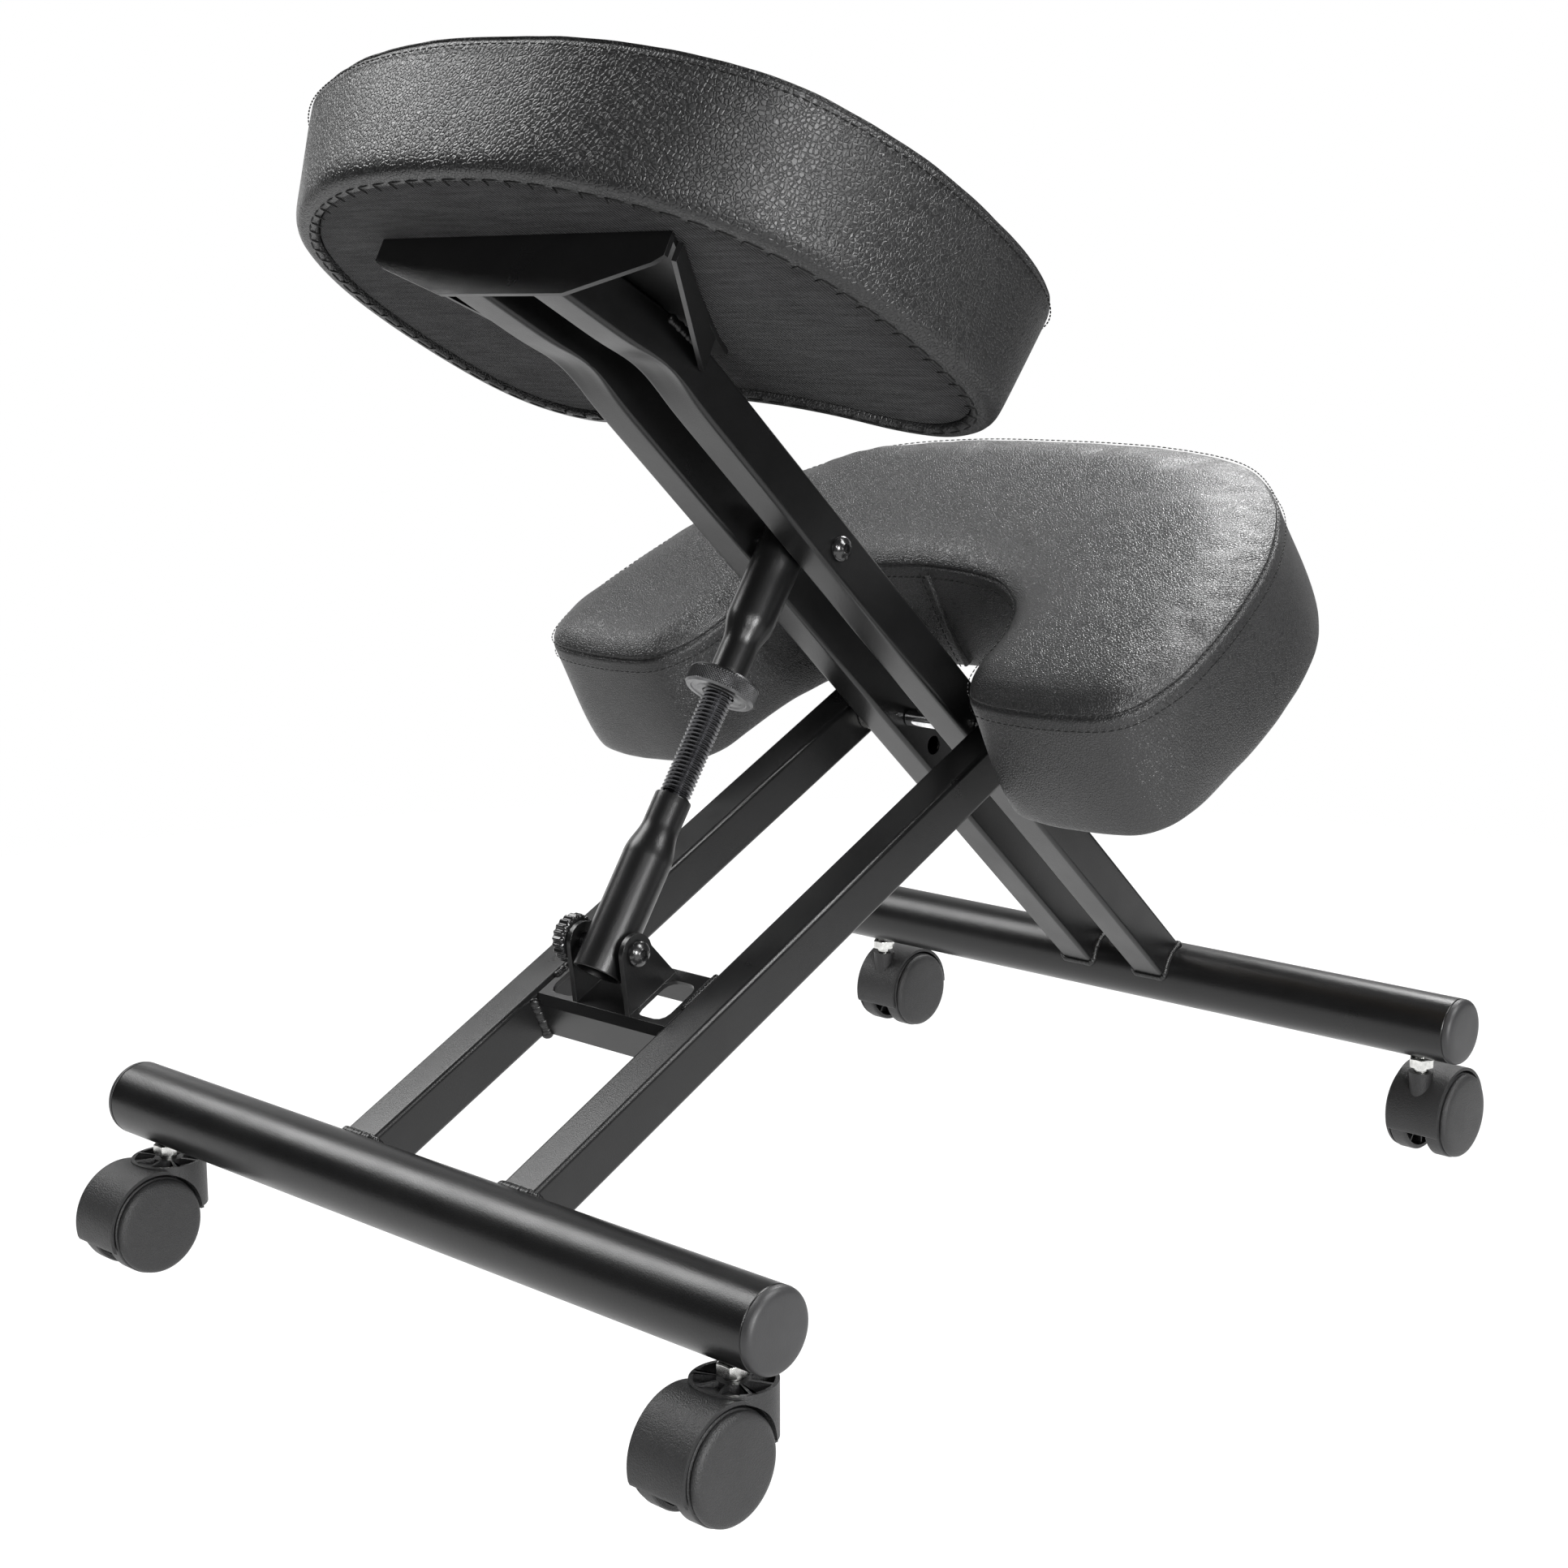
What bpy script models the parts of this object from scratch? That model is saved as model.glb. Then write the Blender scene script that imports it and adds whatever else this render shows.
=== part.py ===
"""Kneeling massage chair: crossed steel frames, screw jack, bean seat and horseshoe knee pad.

+X is the sitter's right, +Y points forward to the knee pad, +Z is up, the floor is z = 0.
"""
import math

import bmesh
import bpy
from mathutils import Matrix, Vector

# ---- driving dimensions, metres and degrees ----
GAP = 0.0003
AXIS_H = 0.0805          # base tube axis above the floor
HALF_SPAN = 0.2867       # base tube axis from the middle, along Y
BASE_R = 0.019
BASE_WALL = 0.002
BASE_HALF = 0.2245
CAP_T = 0.0052
STEM_X = 0.2032

TUBE_W = 0.0225          # frame tube, across X
TUBE_D = 0.025
TUBE_WALL = 0.0016
KNEE_TILT = 26.1
KNEE_OFFSET = -0.0033    # tube centre line from the base tube axis
KNEE_TUBE_X = 0.057
KNEE_TUBE_END = 0.550
SEAT_FRAME_TILT = 41.7
SEAT_FRAME_OFFSET = 0.0005
SEAT_TUBE_X = 0.0269

SEAT_TILT = 28.0
SEAT_REF = Vector((0.0, -0.212, AXIS_H + 0.436))      # rear edge of the seat plate, underside
PIVOT = Vector((0.0, 0.0865, AXIS_H + 0.1794))
JACK_LOW = Vector((0.0, -0.1624, AXIS_H + 0.0968))
JACK_TOP = Vector((0.0, -0.0344, AXIS_H + 0.286))
SPARE_HOLE = Vector((0.0, 0.1081, AXIS_H + 0.1605))
SPARE_R = 0.0055
BOLT_R = 0.004
HOLE_R = 0.0043

JACK_R = 0.0127
NECK_R = 0.0096
JACK_WALL = 0.0018
ROD_R = 0.008
ROD_SPAN = (0.050, 0.184)
LOW_TUBE_TOP = 0.082
NUT_SPAN = (0.140, 0.150)
NUT_R = 0.01875
SLOT_HALF = 0.0017       # half the slot in the jack's top eye

PLATE_T = 0.0025
FLANGE_H = 0.027
BRACKET_HALF = 0.098
EAR_X = 0.0172
EAR_T = 0.003
BRACKET_T = (0.131, 0.177)
BRACKET_TOP = 0.011

WHEEL_R = 0.025
WHEEL_X = (0.0065, 0.0205)
TRAIL = 0.0185
HOOD_R = 0.028
HOOD_HALF = 0.016
WEB_HALF = 0.0058
AXLE_R = 0.003
WELL_R = 0.0262
CUP_R = 0.019
SOCKET_R = 0.007
STEM_R = 0.004

SEAT_BOTTOM_H = PLATE_T + GAP
SEAT_SEAM_H = 0.062
SEAT_CROWN_H = 0.069
SEAT_MIDDLE = -0.013                                   # the cushion sits a little left of its plate
BOARD_T = 0.011
BOARD_INSET = 0.013
PAD_BOTTOM_H = 0.0045
PAD_SEAM_H = 0.078
PAD_CROWN_H = 0.088
KNEE_BOARD_H = TUBE_D / 2 + GAP

# half outlines as (x, forward) from the front middle round to the rear middle, millimetres
SEAT_LOW = [(0, 166), (30, 170), (61, 180), (92, 195), (120, 200), (147, 191), (167, 171), (178, 138),
            (181, 88), (174, 42), (155, 2), (127, -26), (92, -46), (52, -59), (0, -63)]
SEAT_TOP = [(0, 172), (30, 175), (61, 186), (92, 201), (121, 207), (151, 198), (172, 178), (185, 146),
            (191, 100), (187, 46), (168, -4), (140, -31), (101, -50), (57, -62), (0, -67)]
PAD_LOW = [(0, 598), (70, 596), (128, 583), (165, 557), (189, 520), (202, 478), (208, 432),
           (208, 388), (205, 358), (190, 338), (155, 333), (118, 337), (104, 352), (101, 372),
           (99, 392), (93, 414), (80, 436), (50, 454), (0, 460)]
PAD_TOP = [(0, 592), (70, 589), (128, 575), (165, 545), (187, 510), (201, 474), (209, 436),
           (213, 400), (212, 366), (198, 337), (160, 329), (118, 331), (102, 345), (96, 362),
           (94, 381), (89, 400), (77, 421), (47, 442), (0, 449)]

for leftover in list(bpy.data.objects):
    bpy.data.objects.remove(leftover, do_unlink=True)


def collection(name):
    made = bpy.data.collections.new(name)
    bpy.context.scene.collection.children.link(made)
    return made


PARTS = collection("kneeling_massage_chair")
CUTTERS = collection("cutters")
CUTTERS.hide_render = True


def material(name, colour, roughness, metallic=0.0):
    mat = bpy.data.materials.new(name)
    mat.use_nodes = True
    shader = mat.node_tree.nodes["Principled BSDF"]
    shader.inputs["Base Color"].default_value = (*colour, 1.0)
    shader.inputs["Roughness"].default_value = roughness
    shader.inputs["Metallic"].default_value = metallic
    return mat


STEEL = material("black_frame_paint", (0.022, 0.022, 0.024), 0.32, 0.2)
ZINC = material("zinc_hardware", (0.62, 0.62, 0.60), 0.28, 1.0)
BLACK_BOLT = material("black_hardware", (0.03, 0.03, 0.032), 0.3, 0.8)
CHROME = material("chrome_sleeve", (0.75, 0.75, 0.76), 0.12, 1.0)
NUT_STEEL = material("knurled_nut_steel", (0.16, 0.16, 0.165), 0.38, 1.0)
ROD_STEEL = material("threaded_rod_steel", (0.10, 0.10, 0.105), 0.3, 1.0)
PLASTIC = material("caster_plastic", (0.035, 0.035, 0.037), 0.55)
CAP_PLASTIC = material("end_cap_plastic", (0.07, 0.07, 0.073), 0.5)
KNOB_PLASTIC = material("knob_plastic", (0.02, 0.02, 0.021), 0.4)
LEATHER = material("black_leather", (0.035, 0.035, 0.037), 0.45)
BOARD_CLOTH = material("underside_cloth", (0.03, 0.03, 0.031), 0.85)
BOARD_WOOD = material("knee_board_wood", (0.28, 0.19, 0.11), 0.7)


def empty(name, location, tilt_deg=0.0, parent=None):
    """Frame whose X stays level and whose Y is tipped up by tilt_deg."""
    frame = bpy.data.objects.new(name, None)
    PARTS.objects.link(frame)
    frame.parent = parent
    frame.location = location
    frame.rotation_euler = (math.radians(tilt_deg), 0.0, 0.0)
    return frame


def add(name, mesh, mat, parent=None, location=(0, 0, 0), rotation=(0, 0, 0)):
    obj = bpy.data.objects.new(name, mesh)
    home = PARTS
    if mat is None:
        home = CUTTERS
        obj.display_type = "WIRE"
    else:
        mesh.materials.append(mat)
    home.objects.link(obj)
    obj.parent = parent
    obj.location = location
    obj.rotation_euler = [math.radians(a) for a in rotation]
    return obj


def lathe(name, profile, mat, parent=None, segs=32, ring=False, spin=0.0, **place):
    """Turn an (r, z) outline about local Z; the outline runs down its outer side."""
    c, s = math.cos(math.radians(spin)), math.sin(math.radians(spin))
    mesh = bpy.data.meshes.new(name)
    count = len(profile)
    edges = [(i, i + 1) for i in range(count - 1)]
    if ring:
        edges.append((count - 1, 0))
    mesh.from_pydata([(r * c, r * s, z) for r, z in profile], edges, [])
    obj = add(name, mesh, mat, parent, **place)
    turn = obj.modifiers.new("turn", "SCREW")
    turn.steps = turn.render_steps = segs
    turn.use_merge_vertices = True
    turn.merge_threshold = 0.00001
    return obj


def loft(name, rings, mat, parent=None, **place):
    """Closed body through rings of equal point count, flat at both ends."""
    bm = bmesh.new()
    levels = [[bm.verts.new(p) for p in ring] for ring in rings]
    count = len(levels[0])
    for low, high in zip(levels[:-1], levels[1:]):
        for i in range(count):
            j = (i + 1) % count
            bm.faces.new((low[i], low[j], high[j], high[i]))
    bm.faces.new(levels[0][::-1])
    bm.faces.new(levels[-1])
    bmesh.ops.recalc_face_normals(bm, faces=bm.faces)
    mesh = bpy.data.meshes.new(name)
    bm.to_mesh(mesh)
    bm.free()
    return add(name, mesh, mat, parent, **place)


def prism(name, outline, low, high, mat, parent=None, axis="z", **place):
    """Outline pushed from low to high; axis x reads the outline as (y, z), y as (x, z)."""
    turn = {"x": lambda a, b, c: (c, a, b), "y": lambda a, b, c: (a, c, b),
            "z": lambda a, b, c: (a, b, c)}[axis]
    rings = [[turn(a, b, c) for a, b in outline] for c in (low, high)]
    return loft(name, rings, mat, parent, **place)


def bar(name, radius, low, high, mat=None, parent=None, segs=32, **place):
    return lathe(name, [(0, high), (radius, high), (radius, low), (0, low)], mat, parent, segs, **place)


def across(name, radius, low, high, spot, mat=None, parent=None, segs=32):
    """Plain round bar along X through a point."""
    return bar(name, radius, low, high, mat, parent, segs, location=spot, rotation=(0, 90, 0))


def cut(obj, cutter, how="DIFFERENCE"):
    mod = obj.modifiers.new(cutter.name, "BOOLEAN")
    mod.operation = how
    mod.solver = "EXACT"
    mod.object = cutter
    return obj


def arc(cx, cy, radius, start, stop, steps):
    turns = [math.radians(start + (stop - start) * i / steps) for i in range(steps + 1)]
    return [(cx + radius * math.cos(a), cy + radius * math.sin(a)) for a in turns]


def rounded_box(width, depth, radius, steps=2):
    w, d = width / 2 - radius, depth / 2 - radius
    corners = [(w, d, 0), (-w, d, 90), (-w, -d, 180), (w, -d, 270)]
    return [p for cx, cy, a in corners for p in arc(cx, cy, radius, a, a + 90, steps)]


def mirrored(half, middle=0.0):
    """Full loop in metres from a half outline; middle is where its middle line lies in X."""
    right = [Vector((x, y)) * 0.001 for x, y in half]
    left = [Vector((-p.x, p.y)) for p in right[-2:0:-1]]
    return [p + Vector((middle, 0)) for p in right + left]


def smooth_loop(points, steps=2):
    """Catmull-Rom loop through the points."""
    out = []
    count = len(points)
    for i in range(count):
        a, b, c, d = (points[(i + k) % count] for k in (-1, 0, 1, 2))
        for k in range(steps):
            t = k / steps
            out.append(0.5 * (2 * b + (c - a) * t + (2 * a - 5 * b + 4 * c - d) * t * t
                              + (3 * b - a - 3 * c + d) * t ** 3))
    return out


def grown(loop, amount):
    """Loop moved along its own outward normal; the loops here run clockwise."""
    out = []
    count = len(loop)
    for i in range(count):
        along = (loop[(i + 1) % count] - loop[i - 1]).normalized()
        out.append(loop[i] + Vector((-along.y, along.x)) * amount)
    return out


def at_height(loop, height):
    return [(p.x, p.y, height) for p in loop]


def blend(low, high, share):
    return [a.lerp(b, share) for a, b in zip(low, high)]


def cushion(name, low, top, levels, mat, parent):
    """levels hold (height, share of the way from low to top, growth)."""
    rings = [at_height(grown(blend(low, top, share), growth), h) for h, share, growth in levels]
    return loft(name, rings, mat, parent)


# ---- frames ----
def along(tilt, offset, base_y, side):
    """Direction, normal and start of a frame tube's centre line in the Y-Z plane."""
    a = math.radians(tilt)
    line = Vector((0, side * math.cos(a), math.sin(a)))
    normal = Vector((0, -side * math.sin(a), math.cos(a)))
    return line, normal, Vector((0, base_y, AXIS_H)) + normal * offset


KNEE_LINE, KNEE_NORMAL, KNEE_START = along(KNEE_TILT, KNEE_OFFSET, -HALF_SPAN, 1)
SEAT_LINE, SEAT_NORMAL, SEAT_START = along(SEAT_FRAME_TILT, SEAT_FRAME_OFFSET, HALF_SPAN, -1)
KNEE_FRAME = empty("knee_frame_axis", KNEE_START, KNEE_TILT)
SEAT_PLANE = empty("seat_plane", SEAT_REF, -SEAT_TILT)
JACK_DIR = (JACK_TOP - JACK_LOW).normalized()
JACK_LEN = (JACK_TOP - JACK_LOW).length
JACK_LEAN = -math.degrees(math.atan2(JACK_DIR.y, JACK_DIR.z))
JACK_AXIS = empty("jack_axis", JACK_LOW, JACK_LEAN)


def base_tube(name, y):
    wall = BASE_R - BASE_WALL
    tube = lathe(name, [(BASE_R, BASE_HALF), (BASE_R, -BASE_HALF), (wall, -BASE_HALF), (wall, BASE_HALF)],
                 STEEL, segs=40, ring=True, location=(0, y, AXIS_H), rotation=(0, 90, 0))
    for side, x in (("right", STEM_X), ("left", -STEM_X)):
        cut(tube, bar(f"{name}_stem_hole_{side}", HOLE_R, -0.03, 0.0, location=(x, y, AXIS_H)))
    return tube


def end_caps(prefix, y):
    plug = BASE_R - BASE_WALL - GAP
    profile = [(0, CAP_T), (0.0175, CAP_T), (BASE_R, 0.0037), (BASE_R, 0),
               (plug, 0), (plug, -0.012), (0, -0.012)]
    for side, turn in (("right", 90), ("left", -90)):
        x = math.copysign(BASE_HALF + GAP, turn)
        lathe(f"{prefix}_cap_{side}", profile, CAP_PLASTIC, segs=32,
              location=(x, y, AXIS_H), rotation=(0, turn, 0))


def knee_tubes():
    outer = rounded_box(TUBE_W, TUBE_D, 0.0022)
    inner = rounded_box(TUBE_W - 2 * TUBE_WALL, TUBE_D - 2 * TUBE_WALL, 0.001)
    for side, sign in (("right", 1), ("left", -1)):
        x = sign * KNEE_TUBE_X
        rings = [[(x + a, t, b) for a, b in outer] for t in (0.004, KNEE_TUBE_END)]
        tube = loft(f"knee_tube_{side}", rings, STEEL, KNEE_FRAME)
        core = [[(x + a, t, b) for a, b in inner] for t in (-0.01, KNEE_TUBE_END + 0.01)]
        cut(tube, loft(f"knee_core_{side}", core, None, KNEE_FRAME))
        cope = Vector((x, -HALF_SPAN, AXIS_H))
        cut(tube, across(f"knee_cope_{side}", BASE_R + GAP, -0.02, 0.02, cope, segs=48))
        cut(tube, across(f"knee_pivot_hole_{side}", HOLE_R, x - 0.02, x + 0.02, PIVOT))
        for n, t in enumerate(KNEE_SCREW_T):
            cut(tube, bar(f"knee_screw_hole_{side}_{n}", 0.0029, -0.02, 0.02, None, KNEE_FRAME,
                          location=(x, t, 0)))


def seat_path():
    """Centre line of a bent seat tube from the front base tube up to the seat plate."""
    a = math.radians(SEAT_TILT)
    flat = Vector((0, math.cos(a), -math.sin(a)))
    up = Vector((0, math.sin(a), math.cos(a)))
    end = SEAT_REF + flat * 0.003 - up * (TUBE_D / 2 + GAP)
    gap = end - SEAT_START
    t = (gap.y * flat.z - gap.z * flat.y) / (SEAT_LINE.y * flat.z - SEAT_LINE.z * flat.y)
    corner = SEAT_START + SEAT_LINE * t
    first = corner - SEAT_LINE * 0.016
    last = corner - flat * 0.016
    bend = [first.lerp(corner, s).lerp(corner.lerp(last, s), s) for s in (0.0, 0.25, 0.5, 0.75, 1.0)]
    return [SEAT_START + SEAT_LINE * 0.004] + bend + [end]


def sweep(name, path, section, x, mat):
    rings = []
    for i, p in enumerate(path):
        ahead = path[min(i + 1, len(path) - 1)] - path[max(i - 1, 0)]
        normal = Vector((0, -ahead.z, ahead.y)).normalized()
        rings.append([Vector((x + a, 0, 0)) + p + normal * b for a, b in section])
    return loft(name, rings, mat)


def seat_tubes():
    outer = rounded_box(TUBE_W, TUBE_D, 0.0022)
    inner = rounded_box(TUBE_W - 2 * TUBE_WALL, TUBE_D - 2 * TUBE_WALL, 0.001)
    path = seat_path()
    longer = list(path)
    longer[0] = path[0] - SEAT_LINE * 0.012
    longer[-1] = path[-1] + (path[-1] - path[-2]).normalized() * 0.01
    for side, sign in (("right", 1), ("left", -1)):
        x = sign * SEAT_TUBE_X
        tube = sweep(f"seat_tube_{side}", path, outer, x, STEEL)
        cut(tube, sweep(f"seat_core_{side}", longer, inner, x, None))
        cope = Vector((x, HALF_SPAN, AXIS_H))
        cut(tube, across(f"seat_cope_{side}", BASE_R + GAP, -0.02, 0.02, cope, segs=48))
        holes = {"pivot": (PIVOT, HOLE_R), "jack": (JACK_TOP, HOLE_R), "spare": (SPARE_HOLE, SPARE_R)}
        for label, (spot, radius) in holes.items():
            where = Vector((x, spot.y, spot.z))
            cut(tube, across(f"seat_{label}_hole_{side}", radius, -0.02, 0.02, where))


# ---- fasteners ----
def button_bolt(name, spot, head_x, end_x, mat, radius=BOLT_R, head_r=0.0067, head_t=0.0048):
    """Round-headed bolt along X: head at head_x, shank running to end_x."""
    sign = 1 if head_x > end_x else -1
    run = abs(head_x - end_x)
    profile = [(0, head_t), (head_r * 0.55, head_t * 0.94), (head_r * 0.85, head_t * 0.62),
               (head_r, head_t * 0.2), (head_r, 0), (radius, 0), (radius, -run), (0, -run)]
    where = Vector((head_x, spot.y, spot.z))
    bolt = lathe(name, profile, mat, segs=24, location=where, rotation=(0, 90 * sign, 0))
    tip = where + Vector((sign * head_t, 0, 0))
    socket = bar(f"{name}_socket", 0.0024, -0.0024, 0.002, None, segs=6, location=tip,
                 rotation=(0, 90 * sign, 0))
    return cut(bolt, socket)


def hex_nut(name, spot, x, sign, mat, bore=HOLE_R, flats=0.013, thick=0.0065):
    """Domed lock nut on a bolt along X, its bearing face at x."""
    r = flats / 2 / math.cos(math.pi / 6)
    rings = [[(q * math.cos(k * math.pi / 3), q * math.sin(k * math.pi / 3), h) for k in range(6)]
             for q, h in ((r, 0), (r, thick * 0.8), (r * 0.86, thick))]
    nut = loft(name, rings, mat, location=(x, spot.y, spot.z), rotation=(0, 90 * sign, 0))
    return cut(nut, across(f"{name}_bore", bore, -0.02, 0.02, Vector((x, spot.y, spot.z)), segs=24))


def washer(name, spot, low, high, outer, mat, bore=HOLE_R):
    return lathe(name, [(outer, high), (outer, low), (bore, low), (bore, high)], mat, segs=24,
                 ring=True, location=(0, spot.y, spot.z), rotation=(0, 90, 0))


def pivot_parts():
    outer = KNEE_TUBE_X + TUBE_W / 2
    button_bolt("pivot_bolt", PIVOT, outer + GAP, -outer - 0.0075, ZINC)
    hex_nut("pivot_nut", PIVOT, -outer - GAP, -1, BLACK_BOLT)
    inner = SEAT_TUBE_X - TUBE_W / 2 - GAP
    washer("pivot_sleeve", PIVOT, -inner, inner, 0.0051, CHROME)
    low = SEAT_TUBE_X + TUBE_W / 2 + GAP
    high = KNEE_TUBE_X - TUBE_W / 2 - GAP
    washer("pivot_washer_right", PIVOT, low, high, 0.010, ZINC)
    washer("pivot_washer_left", PIVOT, -high, -low, 0.010, ZINC)


def jack_bolts():
    side = SEAT_TUBE_X + TUBE_W / 2 + GAP
    button_bolt("jack_top_bolt", JACK_TOP, side, -side - 0.0075, BLACK_BOLT)
    hex_nut("jack_top_nut", JACK_TOP, -side, -1, BLACK_BOLT)
    ear = EAR_X + EAR_T + GAP
    button_bolt("jack_low_bolt", JACK_LOW, ear, -ear - 0.0055, BLACK_BOLT)


def hand_knob():
    """Scalloped clamp knob; it turns on the jack's lower bolt."""
    ear = EAR_X + EAR_T + GAP
    steps = 48

    def ring(radius, wave, height):
        out = []
        for i in range(steps):
            a = 2 * math.pi * i / steps
            r = radius + wave * math.cos(12 * a)
            out.append((r * math.cos(a), r * math.sin(a), height))
        return out
    rings = [ring(0.0085, 0, 0), ring(0.0108, 0, 0.0008), ring(0.0120, 0.0007, 0.0020),
             ring(0.0120, 0.0007, 0.0070), ring(0.0105, 0.0003, 0.0084), ring(0.0060, 0, 0.0088)]
    knob = loft("hand_knob", rings, KNOB_PLASTIC, location=(-ear, JACK_LOW.y, JACK_LOW.z),
                rotation=(0, -90, 0))
    bore = across("hand_knob_bore", HOLE_R, -0.0058, 0.01, Vector((-ear, JACK_LOW.y, JACK_LOW.z)),
                  segs=24)
    cut(knob, bore)


# ---- jack ----
def jack_tube(name, low, high, neck_low, neck_high):
    """Tube drawn down to a neck at one end; heights run along the jack axis."""
    flare = [(JACK_R, 0.0), (JACK_R - 0.0005, 0.25), (0.0111, 0.5), (NECK_R + 0.0005, 0.75), (NECK_R, 1.0)]
    necked_top = neck_high > (low + high) / 2 and neck_low > low
    body, tip = (low, high) if necked_top else (high, low)
    start, stop = (neck_low, neck_high) if necked_top else (neck_high, neck_low)
    outer = [(JACK_R, body)] + [(r, start + (stop - start) * s) for r, s in flare] + [(NECK_R, tip)]
    bore = ROD_R + 2 * GAP
    inner = [(bore, tip), (bore, stop), (JACK_R - JACK_WALL, start), (JACK_R - JACK_WALL, body)]
    profile = outer + inner
    if necked_top:
        profile = profile[::-1]
    return lathe(name, profile, STEEL, JACK_AXIS, segs=28, ring=True)


def jack():
    low = jack_tube("jack_lower_tube", -0.0145, LOW_TUBE_TOP, 0.046, 0.068)
    cut(low, across("jack_low_hole", HOLE_R, -0.02, 0.02, JACK_LOW))
    bar("jack_rod", ROD_R, *ROD_SPAN, ROD_STEEL, JACK_AXIS, segs=32)
    high = jack_tube("jack_upper_tube", NUT_SPAN[1] + GAP, JACK_LEN + 0.0145, 0.166, 0.186)
    slot = [(y, z + JACK_LEN) for y, z in arc(SLOT_HALF, 0, HOLE_R + GAP, -90, 90, 8)
            + arc(-SLOT_HALF, 0, HOLE_R + GAP, 90, 270, 8)]
    cut(high, prism("jack_top_slot", slot, -0.02, 0.02, None, JACK_AXIS, "x"))
    bore = ROD_R + GAP
    edge = 0.0012
    lathe("jack_nut", [(NUT_R - edge, NUT_SPAN[1]), (NUT_R, NUT_SPAN[1] - edge), (NUT_R, NUT_SPAN[0] + edge),
                       (NUT_R - edge, NUT_SPAN[0]), (bore, NUT_SPAN[0]), (bore, NUT_SPAN[1])],
          NUT_STEEL, JACK_AXIS, segs=32, ring=True)


def jack_bracket():
    """Folded plate between the knee tubes, with two ears bent up for the jack's lower bolt."""
    inner = KNEE_TUBE_X - TUBE_W / 2 - GAP
    t0, t1 = BRACKET_T
    top = BRACKET_TOP
    bottom = -TUBE_D / 2
    skirt = [(t0, top - 0.004), (t0 + 0.004, top), (t1 - 0.004, top), (t1, top - 0.004), (t1, bottom),
             (t1 - PLATE_T, bottom), (t1 - PLATE_T, top - PLATE_T), (t0 + PLATE_T, top - PLATE_T),
             (t0 + PLATE_T, bottom), (t0, bottom)]
    body = prism("jack_bracket", skirt, -inner, inner, STEEL, KNEE_FRAME, "x")
    offset = JACK_LOW - KNEE_START
    eye = (offset.dot(KNEE_LINE), offset.dot(KNEE_NORMAL))
    for side, sign in (("right", 1), ("left", -1)):
        x = sign * (EAR_X + EAR_T + 0.0105)
        window = [(x + a, 0.152 + b) for a, b in rounded_box(0.0205, 0.028, 0.006, 3)]
        cut(body, prism(f"bracket_window_{side}", window, 0.0, 0.03, None, KNEE_FRAME))
        outline = [(0.135, top - 0.001)] + arc(*eye, 0.0100, 165, -12, 10) + [(0.1715, top - 0.001)]
        span = sorted((sign * EAR_X, sign * (EAR_X + EAR_T)))
        ear = prism(f"bracket_ear_{side}", outline, *span, None, KNEE_FRAME, "x")
        cut(body, ear, "UNION")
    cut(body, across("bracket_eye", HOLE_R, -0.03, 0.03, JACK_LOW))


# ---- seat ----
def seat_bracket():
    """Tray under the seat: diamond-backed plate with a rear skirt and two slanting side skirts."""
    back, front = BRACKET_HALF, SEAT_TUBE_X + TUBE_W / 2 + 0.0035
    plate = [(-back, 0.0), (back, 0.0), (front, 0.098), (front - 0.006, 0.112), (-front + 0.006, 0.112),
             (-front, 0.098)]
    body = prism("seat_bracket", plate, 0.0, PLATE_T, STEEL, SEAT_PLANE)
    skirt = [(-back, 0.001), (-back, -0.009), (-back + 0.006, -0.0125), (-0.042, -FLANGE_H),
             (0.042, -FLANGE_H), (back - 0.006, -0.0125), (back, -0.009), (back, 0.001)]
    cut(body, prism("rear_skirt", skirt, 0.0, PLATE_T, None, SEAT_PLANE, "y"), "UNION")
    run = Vector((front - back, 0.088))
    normal = Vector((run.y, -run.x)).normalized() * PLATE_T
    for side, sign in (("right", 1), ("left", -1)):
        start = Vector((back, 0.008))
        deep = start + run
        rings = []
        for p in (start, start - normal):
            q = p + run
            rings.append([(sign * p.x, p.y, 0.001), (sign * q.x, q.y, 0.001),
                          (sign * q.x, q.y, -0.0165), (sign * p.x, p.y, -0.008)])
        cut(body, loft(f"side_skirt_{side}", rings, None, SEAT_PLANE), "UNION")
    for n, (x, s) in enumerate(SEAT_SCREWS):
        cut(body, bar(f"seat_bracket_hole_{n}", 0.0029, -0.01, 0.01, None, SEAT_PLANE, 12,
                      location=(x, s, 0)))


SEAT_SCREWS = [(0.070, 0.014), (-0.070, 0.014), (0.0, 0.030), (0.0, 0.088)]
KNEE_SCREW_T = (0.478, 0.532)


def screw(name, parent, spot, bearing, tip):
    """Pan-head screw driven upward; bearing and tip are heights in the parent frame."""
    profile = [(0, tip), (0.0022, tip), (0.0026, tip - 0.001), (0.0026, bearing), (0.0052, bearing),
               (0.0052, bearing - 0.0018), (0.0036, bearing - 0.0032), (0, bearing - 0.0034)]
    lathe(name, profile, ZINC, parent, segs=12, location=spot)


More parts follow.
